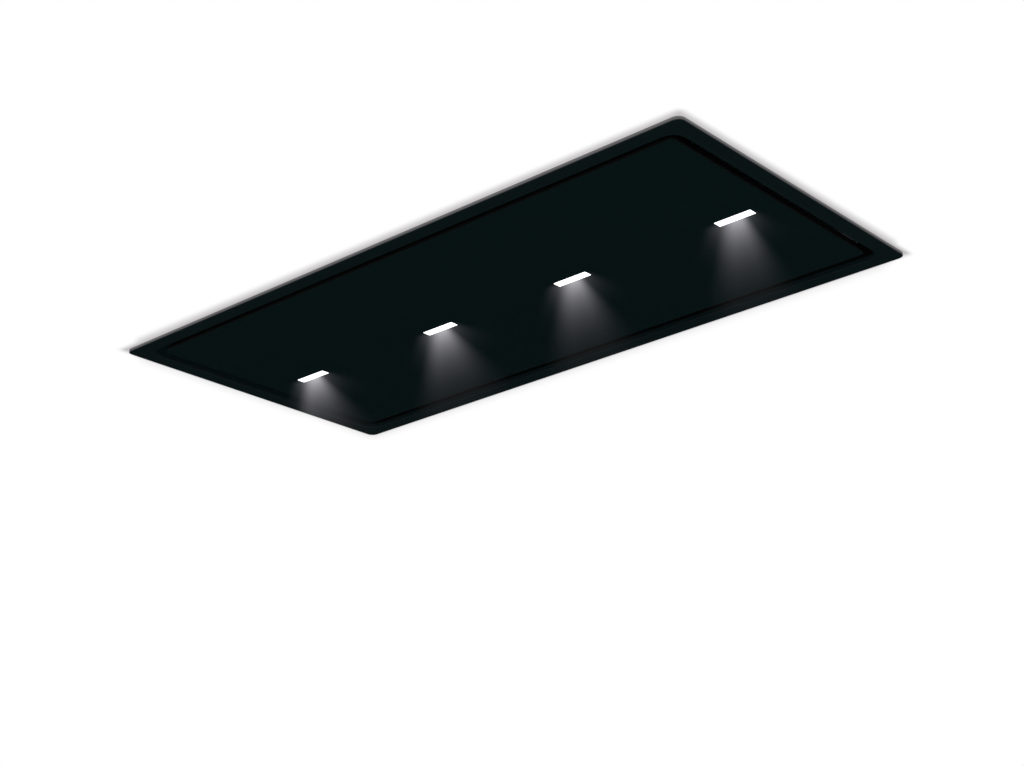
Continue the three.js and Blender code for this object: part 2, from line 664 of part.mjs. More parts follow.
/** A fork that hangs from the filter shelf, with the pin riveted into its two cheeks. */
function hingeBracket(x) {
  const rear = HINGE_Y + BRACKET_EYE;
  const top = UNDER_SHELF;
  const depth = BRACKET_REACH + BRACKET_EYE;
  const foot = roundedRect(BRACKET_FOOT, depth, FOOT_CORNER, x, rear - depth / 2);
  let bracket = plate(foot, top - BRACKET_THICK, top);
  const cheek = () => {
    const outline = new THREE.Shape();
    outline.moveTo(HINGE_Y - BRACKET_REACH, top - BRACKET_THICK / 2);
    outline.lineTo(HINGE_Y - BRACKET_EYE, HINGE_Z + BRACKET_EYE);
    outline.absarc(HINGE_Y, HINGE_Z, BRACKET_EYE, Math.PI, 2 * Math.PI);
    outline.lineTo(rear, top - BRACKET_THICK / 2);
    return outline;
  };
  both((side) => {
    const inner = x + side * CHEEK_X;
    const outer = inner + side * BRACKET_THICK;
    bracket = bracket.add(sectionAlongX(cheek(), Math.min(inner, outer), Math.max(inner, outer)));
  });
  const reach = CHEEK_X + BRACKET_THICK / 2;
  const end = CHEEK_X + BRACKET_THICK + PIN_HEAD;
  const pin = turnedOnX([
    [0, x - end],
    [PIN_HEAD_RADIUS, x - end],
    [PIN_HEAD_RADIUS, x - reach],
    [PIN_RADIUS, x - reach],
    [PIN_RADIUS, x + reach],
    [PIN_HEAD_RADIUS, x + reach],
    [PIN_HEAD_RADIUS, x + end],
    [0, x + end],
  ], HINGE_Y, HINGE_Z);
  return join(bracket, pin);
}

/** A bent strap under the shelf that carries the magnet over its strike plate. */
function catchBracket(x, magnetTop) {
  const low = magnetTop + GAP;
  const front = CATCH_Y - CATCH_DEPTH / 2;
  const rear = CATCH_Y + CATCH_DEPTH / 2;
  const section = polygon(
    [front, low],
    [rear, low],
    [rear, low + CATCH_THICK],
    [front + CATCH_THICK, low + CATCH_THICK],
    [front + CATCH_THICK, UNDER_SHELF - CATCH_THICK],
    [rear, UNDER_SHELF - CATCH_THICK],
    [rear, UNDER_SHELF],
    [front, UNDER_SHELF],
  );
  return sectionAlongX(section, x - CATCH_WIDTH / 2, x + CATCH_WIDTH / 2);
}

function buildHingesAndCatches() {
  const group = assembly();
  both((side, number) => {
    const x = side * HINGE_X;
    place(group, `hinge_leaf_${number}`, 'steel', hingeLeaf(x));
    place(group, `hinge_bracket_${number}`, 'zinc', hingeBracket(x));
  });
  both((side, number) => {
    const x = side * CATCH_X;
    const strikeTop = ON_TRAY + STRIKE_THICK;
    const magnetTop = strikeTop + GAP + MAGNET_HEIGHT;
    const strike = roundedRect(STRIKE_SIZE, CATCH_DEPTH, STRIKE_CORNER, x, CATCH_Y);
    place(group, `strike_plate_${number}`, 'steel', plate(strike, ON_TRAY, strikeTop));
    const magnet = turned(barProfile(MAGNET_RADIUS, strikeTop + GAP, magnetTop), x, CATCH_Y);
    place(group, `catch_magnet_${number}`, 'magnet', magnet);
    place(group, `catch_bracket_${number}`, 'zinc', catchBracket(x, magnetTop));
  });
}

// ---------------------------------------------------------------- cassette and filters
function buildCassette() {
  const group = assembly();
  const outline = () => roundedRect(CASSETTE_LENGTH, CASSETTE_WIDTH, CASSETTE_CORNER);
  const inside = () => roundedRect(
    CASSETTE_LENGTH - 2 * SHEET,
    CASSETTE_WIDTH - 2 * SHEET,
    CASSETTE_CORNER - SHEET,
  );
  const flange = roundedRect(
    CASSETTE_LENGTH + 2 * CASSETTE_FLANGE,
    CASSETTE_WIDTH + 2 * CASSETTE_FLANGE,
    CASSETTE_CORNER,
  );
  const seamInside = roundedRect(
    CASSETTE_LENGTH - 2 * CASSETTE_SEAM,
    CASSETTE_WIDTH - 2 * CASSETTE_SEAM,
    CASSETTE_CORNER,
  );
  const wallTop = CASSETTE_HEIGHT - SHEET - GAP;
  const walls = join(
    plate(flange, CASSETTE_Z, CASSETTE_Z + SHEET, [inside()]),
    plate(outline(), CASSETTE_Z, wallTop, [inside()]),
    plate(outline(), wallTop - SHEET, wallTop, [seamInside]),
  );
  place(group, 'cassette', 'zinc', walls);

  let roof = plate(outline(), CASSETTE_HEIGHT - SHEET, CASSETTE_HEIGHT, [
    circle(INLET_RADIUS, BLOWER_X, BLOWER_Y, FINE_SIDES),
  ]);
  const beadX = CASSETTE_LENGTH / 2 - CASSETTE_BEAD_FROM_END;
  both((side) => {
    both((end) => {
      const y = side * (CASSETTE_WIDTH / 2 - BEAD_WIDTH * 1.5);
      roof = pressBead(roof, CASSETTE_BEAD_LENGTH, end * beadX, y, CASSETTE_HEIGHT - SHEET);
    });
  });
  place(group, 'cassette_roof', 'zinc', roof);

  const shelfLength = CASSETTE_LENGTH - 2 * (SHEET + GAP);
  const shelfWidth = CASSETTE_WIDTH - 2 * (SHEET + GAP);
  const shelfOutline = () => roundedRect(shelfLength, shelfWidth, CASSETTE_CORNER - SHEET - GAP);
  const edge = roundedRect(
    shelfLength - 2 * SHEET,
    shelfWidth - 2 * SHEET,
    CASSETTE_CORNER - 2 * SHEET - GAP,
  );
  const openings = FILTER_XS.map((x) => roundedRect(
    FILTER_LENGTH + 2 * FILTER_CLEARANCE,
    FILTER_WIDTH + 2 * FILTER_CLEARANCE,
    FILTER_CORNER + FILTER_CLEARANCE,
    x,
    0,
  ));
  const shelf = join(
    plate(shelfOutline(), SHELF_Z, SHELF_Z + SHEET, openings),
    plate(shelfOutline(), FILTER_TOP - SHELF_EDGE, FILTER_TOP, [edge]),
  );
  place(group, 'filter_shelf', 'zinc', shelf);
}

/** A grease filter: a frame with baffle slots, two rear tabs for the shelf and a bay for the latch. */
function greaseFilter(x) {
  const outline = roundedRect(FILTER_LENGTH, FILTER_WIDTH, FILTER_CORNER, x, 0);
  const field = FILTER_LENGTH - 2 * FILTER_FRAME;
  const pitch = (field + BAFFLE_SLOT) / BAFFLE_COUNT;
  const first = x - field / 2 + (pitch - BAFFLE_SLOT) / 2;
  const rear = FILTER_WIDTH / 2 - FILTER_FRAME;
  const front = FILTER_FRONT + LATCH_BAY_WIDTH + FILTER_FRAME / 2;
  const half = (front + rear) / 2;
  let filter = plate(outline, FILTER_Z, FILTER_TOP);
  for (let i = 0; i < BAFFLE_COUNT; i += 1) {
    const middle = first + i * pitch;
    [[front, half - BAFFLE_RAIL / 2], [half + BAFFLE_RAIL / 2, rear]].forEach(([y0, y1]) => {
      filter = filter.subtract(block(
        middle - BAFFLE_SLOT / 2,
        middle + BAFFLE_SLOT / 2,
        y0,
        y1,
        FILTER_Z - HOLE_PAST,
        FILTER_TOP + HOLE_PAST,
      ));
    });
  }
  both((side) => {
    const tabX = x + side * TAB_X;
    const edge = FILTER_WIDTH / 2;
    const tab = polygon(
      [edge - FILTER_FRAME, FILTER_TOP - SHEET],
      [edge, FILTER_TOP - SHEET],
      [edge, LATCH_Z],
      [edge + TAB_REACH, LATCH_Z],
      [edge + TAB_REACH, LATCH_Z + TAB_THICK],
      [edge - FILTER_FRAME, LATCH_Z + TAB_THICK],
    );
    filter = filter.add(sectionAlongX(tab, tabX - TAB_WIDTH / 2, tabX + TAB_WIDTH / 2));
    const inner = x + side * (LATCH_LENGTH / 2 + GAP);
    const outer = inner + side * LATCH_GUIDE;
    const bayEnd = FILTER_FRONT + LATCH_BAY_WIDTH;
    filter = filter.add(block(
      Math.min(inner, outer),
      Math.max(inner, outer),
      FILTER_FRONT + SHEET,
      bayEnd,
      FILTER_TOP - SHEET,
      LATCH_Z + LATCH_THICK,
    ));
  });
  const cupY = FILTER_FRONT + LATCH_BAY_WIDTH / 2 + CUP_FROM_LATCH;
  const cup = roundedRect(LATCH_BAY_LENGTH, LATCH_BAY_WIDTH - FILTER_FRAME, CUP_CORNER, x, cupY);
  filter = cut(filter, plate(cup, FILTER_Z - HOLE_PAST, FILTER_TOP - 2 * SHEET));
  return cut(filter, block(
    x - FINGER_LENGTH / 2 - GAP,
    x + FINGER_LENGTH / 2 + GAP,
    FINGER_Y - GAP,
    FINGER_Y + FINGER_THICK + LATCH_TRAVEL + GAP,
    FILTER_Z - HOLE_PAST,
    FILTER_TOP + HOLE_PAST,
  ));
}

/** The sprung latch: a tongue over the shelf's edge, and a finger that hangs through the filter. */
function filterLatch(x) {
  const tongue = roundedRect(LATCH_LENGTH, LATCH_WIDTH, LATCH_CORNER, x, LATCH_FRONT + LATCH_WIDTH / 2);
  const finger = block(
    x - FINGER_LENGTH / 2,
    x + FINGER_LENGTH / 2,
    FINGER_Y,
    FINGER_Y + FINGER_THICK,
    FILTER_Z - FINGER_DROP,
    LATCH_Z + LATCH_THICK / 2,
  );
  return join(plate(tongue, LATCH_Z, LATCH_Z + LATCH_THICK), finger);
}

function buildFilters() {
  const group = assembly();
  FILTER_XS.forEach((x, i) => {
    place(group, `grease_filter_${i + 1}`, 'aluminium', greaseFilter(x));
    place(group, `filter_latch_${i + 1}`, 'blackPlastic', filterLatch(x));
  });
}

// ---------------------------------------------------------------- blower
/** The scroll's outline in plan, a growing spiral that opens into a straight mouth towards +X. */
function scrollPrism(offset, z0, z1, mouthEnd) {
  const steps = 28;
  const points = [];
  for (let i = 0; i <= steps; i += 1) {
    const angle = SCROLL_START + (SCROLL_END - SCROLL_START) * i / steps;
    const radius = SCROLL_RADIUS + SCROLL_GROWTH * i / steps + offset;
    points.push(new THREE.Vector2(BLOWER_X + radius * Math.cos(angle), BLOWER_Y + radius * Math.sin(angle)));
  }
  const spiral = plate(new THREE.Shape(points), z0, z1);
  const mouth = block(BLOWER_X, mouthEnd, BLOWER_Y + MOUTH_Y - offset, BLOWER_Y + TONGUE_Y + offset, z0, z1);
  return spiral.add(mouth);
}

/** One forward-curved blade of the wheel, as seen from above. */
function bladeOutline(number) {
  const steps = 2;
  const start = number * 2 * Math.PI / BLADE_COUNT;
  const ahead = [];
  const behind = [];
  for (let i = 0; i <= steps; i += 1) {
    const share = i / steps;
    const radius = WHEEL_EYE + (WHEEL_RADIUS - WHEEL_RING / 2 - WHEEL_EYE) * share;
    const angle = start + BLADE_SWEEP * share ** 2;
    const half = BLADE_THICK / 2 / radius;
    ahead.push(new THREE.Vector2(radius * Math.cos(angle + half), radius * Math.sin(angle + half)));
    behind.unshift(new THREE.Vector2(radius * Math.cos(angle - half), radius * Math.sin(angle - half)));
  }
  const points = [...behind.reverse(), ...ahead.reverse()];
  return new THREE.Shape(points.map((p) => p.clone().add(new THREE.Vector2(BLOWER_X, BLOWER_Y))));
}

/** The wheel: a dished back plate with its hub, a ring round the eye and the blades between them. */
function impeller() {
  const back = WHEEL_TOP - WHEEL_PLATE;
  const bore = SHAFT_RADIUS + GAP;
  const plateProfile = [
    [bore, back - HUB_HEIGHT],
    [HUB_RADIUS, back - HUB_HEIGHT],
    [HUB_RADIUS + HUB_DRAFT, back],
    [WHEEL_RADIUS, back],
    [WHEEL_RADIUS, WHEEL_TOP],
    [bore, WHEEL_TOP],
    [bore, back - HUB_HEIGHT],
  ];
  const ring = ringProfile(WHEEL_RADIUS - RING_WIDTH, WHEEL_RADIUS, WHEEL_Z, WHEEL_Z + WHEEL_RING);
  let wheel = join(
    turned(plateProfile, BLOWER_X, BLOWER_Y, FINE_SIDES),
    turned(ring, BLOWER_X, BLOWER_Y, FINE_SIDES),
  );
  for (let i = 0; i < BLADE_COUNT; i += 1) {
    wheel = wheel.add(plate(bladeOutline(i), WHEEL_Z + WHEEL_RING / 2, back + WHEEL_PLATE / 2));
  }
  return wheel;
}

/** The bell mouth that leads the air from the cassette into the wheel's eye. */
function inletRing() {
  const steps = 3;
  const low = SCROLL_FLOOR + GAP;
  const throat = WHEEL_EYE + THROAT_STEP;
  const run = INLET_RADIUS - throat;
  const under = [];
  const over = [];
  for (let i = 0; i <= steps; i += 1) {
    const angle = i / steps * Math.PI / 2;
    under.push([INLET_RADIUS - run * Math.sin(angle), low + INLET_RISE * (1 - Math.cos(angle))]);
    over.unshift([
      INLET_RADIUS - (run - SCROLL_WALL) * Math.sin(angle),
      low + SCROLL_WALL + (INLET_RISE - SCROLL_WALL) * (1 - Math.cos(angle)),
    ]);
  }
  const rim = INLET_RADIUS + INLET_FLANGE;
  const profile = [[rim, low], ...under, ...over, [rim, low + SCROLL_WALL], [rim, low]];
  return turned(profile.reverse(), BLOWER_X, BLOWER_Y);
}

function buildBlower() {
  const group = assembly();
  const mouthEnd = BLOWER_X + DUCT_LENGTH;
  const inlet = circle(INLET_RADIUS, BLOWER_X, BLOWER_Y, FINE_SIDES);
  const scroll = cut(
    scrollPrism(SCROLL_WALL, ON_CASSETTE, SCROLL_TOP, mouthEnd),
    scrollPrism(0, SCROLL_FLOOR, SCROLL_TOP + HOLE_PAST, mouthEnd + HOLE_PAST),
    plate(inlet, ON_CASSETTE - HOLE_PAST, SCROLL_FLOOR + HOLE_PAST),
  );
  place(group, 'scroll_housing', 'zinc', scroll);
  const cover = cut(
    scrollPrism(SCROLL_WALL, COVER_Z, COVER_Z + SCROLL_WALL, mouthEnd),
    plate(circle(HUB_RADIUS, BLOWER_X, BLOWER_Y, ROUND_SIDES), COVER_Z - HOLE_PAST, MOTOR_Z),
  );
  place(group, 'scroll_cover', 'zinc', cover);
  place(group, 'inlet_ring', 'blackPlastic', inletRing());
  place(group, 'impeller', 'castAluminium', impeller());

  const motorTop = MOTOR_Z + MOTOR_HEIGHT;
  const motorFlat = motorTop - MOTOR_CAP;
  const boreEnd = MOTOR_Z + MOTOR_HEIGHT / 2;
  const motorProfile = [
    [0, boreEnd],
    [SHAFT_RADIUS + GAP, boreEnd],
    [SHAFT_RADIUS + GAP, MOTOR_Z],
    [MOTOR_FLANGE_RADIUS, MOTOR_Z],
    [MOTOR_FLANGE_RADIUS, MOTOR_Z + MOTOR_FLANGE],
    [MOTOR_RADIUS, MOTOR_Z + MOTOR_FLANGE],
    [MOTOR_RADIUS, motorFlat - MOTOR_DOME],
    [MOTOR_RADIUS - MOTOR_EDGE, motorFlat - MOTOR_EDGE],
    [MOTOR_RADIUS - MOTOR_DOME, motorFlat],
    [HUB_RADIUS, motorFlat],
    [HUB_RADIUS, motorTop],
    [0, motorTop],
  ];
  place(group, 'motor', 'castAluminium', turned(motorProfile, BLOWER_X, BLOWER_Y));
  const shaft = barProfile(SHAFT_RADIUS, WHEEL_TOP - HUB_HEIGHT, boreEnd - GAP);
  place(group, 'motor_shaft', 'steel', turned(shaft, BLOWER_X, BLOWER_Y));

  const canTop = ON_CASSETTE + CAPACITOR_HEIGHT;
  const can = [
    [0, ON_CASSETTE],
    [CAPACITOR_RADIUS, ON_CASSETTE],
    [CAPACITOR_RADIUS, canTop - CAPACITOR_CAP - CAPACITOR_EDGE],
    [CAPACITOR_RADIUS - CAPACITOR_EDGE, canTop - CAPACITOR_CAP],
    [CAPACITOR_RADIUS - 2 * CAPACITOR_EDGE, canTop - CAPACITOR_CAP],
    [CAPACITOR_RADIUS - 2 * CAPACITOR_EDGE - CAPACITOR_CAP, canTop],
    [0, canTop],
  ];
  place(group, 'run_capacitor', 'greyPlastic', turned(can, CAPACITOR_X, CAPACITOR_Y, SMALL_SIDES));
}

function buildBlowerBox() {
  const group = assembly();
  const outline = () => roundedRect(BOX_LENGTH, BOX_WIDTH, BOX_CORNER);
  const inside = () => roundedRect(BOX_LENGTH - 2 * SHEET, BOX_WIDTH - 2 * SHEET, BOX_CORNER - SHEET);
  const flange = roundedRect(BOX_LENGTH + 2 * BOX_FLANGE, BOX_WIDTH + 2 * BOX_FLANGE, BOX_CORNER);
  const wall = BOX_LENGTH / 2;
  const shell = join(
    plate(flange, ON_CASSETTE, ON_CASSETTE + SHEET, [inside()]),
    plate(outline(), ON_CASSETTE, BOX_TOP, [inside()]),
  );
  const outlet = barProfile(COLLAR_BORE, wall - SHEET - HOLE_PAST, wall + HOLE_PAST);
  place(group, 'blower_box', 'zinc', cut(shell, turnedOnX(outlet, OUTLET_Y, OUTLET_Z, FINE_SIDES)));

  const grow = 2 * (GAP + SHEET);
  const lidOutline = () => roundedRect(BOX_LENGTH + grow, BOX_WIDTH + grow, BOX_CORNER + GAP + SHEET);
  const skirt = roundedRect(BOX_LENGTH + 2 * GAP, BOX_WIDTH + 2 * GAP, BOX_CORNER + GAP);
  let lid = join(
    plate(lidOutline(), LID_Z, LID_Z + SHEET),
    plate(lidOutline(), LID_Z + SHEET - LID_SKIRT, LID_Z + SHEET, [skirt]),
  );
  both((side) => {
    lid = pressBead(lid, LID_BEAD_LENGTH, 0, side * LID_BEAD_Y, LID_Z);
  });
  place(group, 'blower_box_lid', 'zinc', lid);
}

// ---------------------------------------------------------------- outlet
/** The corners of a rectangle at one value of X, turning from +Y to +Z. */
function rectangleLoop(x, y0, y1, z0, z1) {
  return [[y1, z1], [y0, z1], [y0, z0], [y1, z0]].map(([y, z]) => new THREE.Vector3(x, y, z));
}

/** Points round a circle at one value of X, turning from +Y to +Z. */
function circleLoop(x, y, z, radius, sides) {
  return Array.from({ length: sides }, (_, i) => {
    const angle = i * 2 * Math.PI / sides;
    return new THREE.Vector3(x, y + radius * Math.cos(angle), z + radius * Math.sin(angle));
  });
}

/**
 * A square-to-round duct piece as it is folded from sheet: a flat on each side of the square, and at each
 * corner a quarter of a cone. The loops are the square and the round end of the outside, then of the bore.
 */
function squareToRound(squareOut, roundOut, squareIn, roundIn) {
  const sides = roundOut.length;
  const quarter = sides / 4;
  const [a, p, b, q] = [0, 4, 4 + sides, 8 + sides]; // where each loop starts among the points
  const index = [];
  for (let k = 0; k < sides; k += 1) {
    const next = (k + 1) % sides;
    const corner = Math.floor(k / quarter);
    index.push(a + corner, p + next, p + k, b + corner, q + k, q + next);
    index.push(p + k, p + next, q + next, p + k, q + next, q + k);
  }
  for (let corner = 0; corner < 4; corner += 1) {
    const after = (corner + 1) % 4;
    const touch = after * quarter;
    index.push(a + corner, a + after, p + touch, b + corner, q + touch, b + after);
    index.push(a + corner, b + corner, a + after, a + after, b + corner, b + after);
  }
  const points = [...squareOut, ...roundOut, ...squareIn, ...roundIn];
  const geometry = new THREE.BufferGeometry().setFromPoints(points);
  geometry.setIndex(index);
  return solid(geometry);
}

/** The duct piece that turns the scroll's square mouth into a round one. */
function outletAdapter() {
  const from = BLOWER_X + DUCT_LENGTH + GAP;
  const to = BOX_LENGTH / 2 - SHEET - GAP;
  const low = BLOWER_Y + MOUTH_Y;
  const high = BLOWER_Y + TONGUE_Y;
  const wall = SCROLL_WALL;
  const bore = COLLAR_BORE - wall;
  return squareToRound(
    rectangleLoop(from, low - wall, high + wall, ON_CASSETTE, COVER_Z + wall),
    circleLoop(to, OUTLET_Y, OUTLET_Z, bore + wall, ROUND_SIDES),
    rectangleLoop(from, low, high, SCROLL_FLOOR, COVER_Z),
    circleLoop(to, OUTLET_Y, OUTLET_Z, bore, ROUND_SIDES),
  );
}

/** A round spigot with a flange on the blower box and a bead near its end. */
function outletCollar() {
  const end = COLLAR_X + COLLAR_LENGTH;
  const bead = end - COLLAR_BEAD_FROM_END;
  const profile = [
    [COLLAR_BORE, COLLAR_X],
    [COLLAR_RADIUS + COLLAR_FLANGE, COLLAR_X],
    [COLLAR_RADIUS + COLLAR_FLANGE, COLLAR_X + COLLAR_WALL],
    [COLLAR_RADIUS, COLLAR_X + COLLAR_WALL],
    [COLLAR_RADIUS, bead - COLLAR_BEAD_HALF],
    [COLLAR_RADIUS + COLLAR_BEAD, bead],
    [COLLAR_RADIUS, bead + COLLAR_BEAD_HALF],
    [COLLAR_RADIUS, end],
    [COLLAR_BORE, end],
    [COLLAR_BORE, COLLAR_X],
  ];
  const collar = turnedOnX(profile, OUTLET_Y, OUTLET_Z, FINE_SIDES);
  const reach = COLLAR_RADIUS + COLLAR_FLANGE;
  const hole = barProfile(SPINDLE_RADIUS + GAP, OUTLET_Z - reach, OUTLET_Z + reach);
  return cut(collar, turned(hole, SPINDLE_X, OUTLET_Y, SMALL_SIDES));
}

/** Half a disc that hangs on the spindle by knuckles, each given as [from, to] in shares of its radius. */
function damperFlap(side, knuckles) {
  const disc = turnedOnX(
    barProfile(FLAP_RADIUS, SPINDLE_X - FLAP_THICK / 2, SPINDLE_X + FLAP_THICK / 2),
    OUTLET_Y,
    OUTLET_Z,
    FINE_SIDES,
  );
  const reach = FLAP_RADIUS + HOLE_PAST;
  const root = OUTLET_Y + side * FLAP_ROOT;
  const far = OUTLET_Y + side * reach;
  const half = disc.intersect(block(
    SPINDLE_X - FLAP_THICK,
    SPINDLE_X + FLAP_THICK,
    Math.min(root, far),
    Math.max(root, far),
    OUTLET_Z - reach,
    OUTLET_Z + reach,
  ));
  const bars = knuckles.map(([from, to]) => {
    const [z0, z1] = [OUTLET_Z + from * FLAP_RADIUS, OUTLET_Z + to * FLAP_RADIUS];
    const web = block(
      SPINDLE_X - FLAP_THICK / 2,
      SPINDLE_X + FLAP_THICK / 2,
      Math.min(root + side, OUTLET_Y),
      Math.max(root + side, OUTLET_Y),
      z0,
      z1,
    );
    return web.add(turned(barProfile(FLAP_KNUCKLE, z0, z1), SPINDLE_X, OUTLET_Y, SMALL_SIDES));
  });
  const bore = barProfile(SPINDLE_RADIUS + GAP, OUTLET_Z - reach, OUTLET_Z + reach);
  return cut(join(half, ...bars), turned(bore, SPINDLE_X, OUTLET_Y, SMALL_SIDES));
}

function buildOutlet() {
  const group = assembly();
  place(group, 'outlet_adapter', 'zinc', outletAdapter());
  place(group, 'outlet_collar', 'zinc', outletCollar());
  const half = COLLAR_RADIUS + SPINDLE_PROUD;
  const spindle = barProfile(SPINDLE_RADIUS, OUTLET_Z - half, OUTLET_Z + half);
  place(group, 'damper_spindle', 'steel', turned(spindle, SPINDLE_X, OUTLET_Y, SMALL_SIDES));
  place(group, 'damper_flap_1', 'blackPlastic', damperFlap(-1, MIDDLE_KNUCKLE));
  place(group, 'damper_flap_2', 'blackPlastic', damperFlap(1, OUTER_KNUCKLES));
}

// ---------------------------------------------------------------- electrics
function buildControlBox() {
  const group = assembly();
  const at = [CONTROL_X, CONTROL_Y];
  const outline = () => roundedRect(CONTROL_LENGTH, CONTROL_WIDTH, CONTROL_CORNER, ...at);
  const inside = () => roundedRect(
    CONTROL_LENGTH - 2 * CONTROL_WALL,
    CONTROL_WIDTH - 2 * CONTROL_WALL,
    CONTROL_CORNER - CONTROL_WALL,
    ...at,
  );
  const top = ON_CASSETTE + CONTROL_HEIGHT;
  let box = join(
    plate(outline(), ON_CASSETTE, CONTROL_FLOOR),
    plate(outline(), ON_CASSETTE, top, [inside()]),
  );
  const boardLength = CONTROL_LENGTH - 2 * (CONTROL_WALL + BOARD_MARGIN);
  const boardWidth = CONTROL_WIDTH - 2 * (CONTROL_WALL + BOARD_MARGIN);
  const glandZ = ON_CASSETTE + CONTROL_HEIGHT / 2;
  both((endX) => both((endY) => {
    const x = CONTROL_X + endX * (boardLength / 2 - 2 * BOSS_RADIUS);
    const y = CONTROL_Y + endY * (boardWidth / 2 - 2 * BOSS_RADIUS);
    const boss = barProfile(BOSS_RADIUS, CONTROL_FLOOR - CONTROL_WALL / 2, CONTROL_FLOOR + BOSS_HEIGHT);
    box = box.add(turned(boss, x, y, 8));
  }));
  const wall = CONTROL_X - CONTROL_LENGTH / 2;
  const glandHole = barProfile(GLAND_RADIUS, wall - CONTROL_WALL, wall + 2 * CONTROL_WALL);
  box = cut(box, turnedOnX(glandHole, CONTROL_Y, glandZ));
  place(group, 'control_box', 'greyPlastic', box);

  const grow = 2 * (GAP + CONTROL_WALL);
  const corner = CONTROL_CORNER + GAP + CONTROL_WALL;
  const lidOutline = () => roundedRect(CONTROL_LENGTH + grow, CONTROL_WIDTH + grow, corner, ...at);
  const skirt = roundedRect(
    CONTROL_LENGTH + 2 * GAP,
    CONTROL_WIDTH + 2 * GAP,
    CONTROL_CORNER + GAP,
    ...at,
  );
  const lidTop = top + GAP + CONTROL_WALL;
  const cover = join(
    plate(lidOutline(), top + GAP, lidTop),
    plate(lidOutline(), lidTop - COVER_SKIRT, lidTop, [skirt]),
  );
  place(group, 'control_cover', 'greyPlastic', cover);

  const boardTop = BOARD_Z + BOARD_THICK;
  const board = plate(roundedRect(boardLength, boardWidth, BOARD_CORNER, ...at), BOARD_Z, boardTop);
  const seat = boardTop - BOARD_THICK / 2;
  const relayY = CONTROL_Y - boardWidth / 2 + RELAY_MARGIN;
  const relays = Array.from({ length: RELAY_COUNT }, (_, i) => {
    const relayX = CONTROL_X + (i - (RELAY_COUNT - 1) / 2) * RELAY_PITCH;
    return block(
      relayX - RELAY_WIDTH / 2,
      relayX + RELAY_WIDTH / 2,
      relayY,
      relayY + RELAY_DEPTH,
      seat,
      boardTop + RELAY_HEIGHT,
    );
  });
  const transformerEnd = CONTROL_X + boardLength / 2 - TRANSFORMER_MARGIN;
  const transformer = block(
    transformerEnd - TRANSFORMER_LENGTH,
    transformerEnd,
    CONTROL_Y,
    CONTROL_Y + TRANSFORMER_WIDTH,
    seat,
    boardTop + TRANSFORMER_HEIGHT,
  );
  const terminalStart = CONTROL_X - boardLength / 2 + TERMINAL_MARGIN;
  const terminals = block(
    terminalStart,
    terminalStart + TERMINAL_DEPTH,
    CONTROL_Y - TERMINAL_LENGTH / 2,
    CONTROL_Y + TERMINAL_LENGTH / 2,
    seat,
    boardTop + TERMINAL_HEIGHT,
  );
  place(group, 'control_board', 'board', join(board, ...relays, transformer, terminals));

  const thread = GLAND_RADIUS - GAP;
  const threadEnd = wall + CONTROL_WALL + GLAND_INSIDE;
  const mouth = wall - GLAND_LENGTH;
  const body = [
    [0, mouth],
    [thread - GLAND_TAPER / 2, mouth],
    [thread, mouth + GLAND_TAPER],
    [thread, threadEnd],
    [0, threadEnd],
  ];
  const nut = barProfile(GLAND_HEX, wall - GLAND_NUT, wall - GAP);
  const bore = barProfile(GLAND_BORE, mouth - HOLE_PAST, threadEnd + HOLE_PAST);
  const gland = join(turnedOnX(body, CONTROL_Y, glandZ), turnedOnX(nut, CONTROL_Y, glandZ, 6));
  place(group, 'mains_gland', 'blackPlastic', cut(gland, turnedOnX(bore, CONTROL_Y, glandZ)));
}

function buildLightDriver() {
  const group = assembly();
  const holes = [-1, 1].map((end) => circle(
    SCREW_HOLE,
    DRIVER_X + end * (DRIVER_LENGTH + DRIVER_EAR) / 2,
    DRIVER_Y,
  ));
  const ears = roundedRect(
    DRIVER_LENGTH + 2 * DRIVER_EAR,
    DRIVER_EAR_WIDTH,
    DRIVER_EAR_CORNER,
    DRIVER_X,
    DRIVER_Y,
  );
  const half = DRIVER_WIDTH / 2;
  const top = ON_CASSETTE + DRIVER_HEIGHT;
  const section = polygon(
    [DRIVER_Y - half, ON_CASSETTE],
    [DRIVER_Y + half, ON_CASSETTE],
    [DRIVER_Y + half, top - DRIVER_CHAMFER],
    [DRIVER_Y + half - DRIVER_CHAMFER, top],
    [DRIVER_Y - half + DRIVER_CHAMFER, top],
    [DRIVER_Y - half, top - DRIVER_CHAMFER],
  );
  const driver = join(
    plate(ears, ON_CASSETTE, ON_CASSETTE + DRIVER_EAR_THICK, holes),
    sectionAlongX(section, DRIVER_X - DRIVER_LENGTH / 2, DRIVER_X + DRIVER_LENGTH / 2),
  );
  place(group, 'light_driver', 'greyPlastic', driver);
}

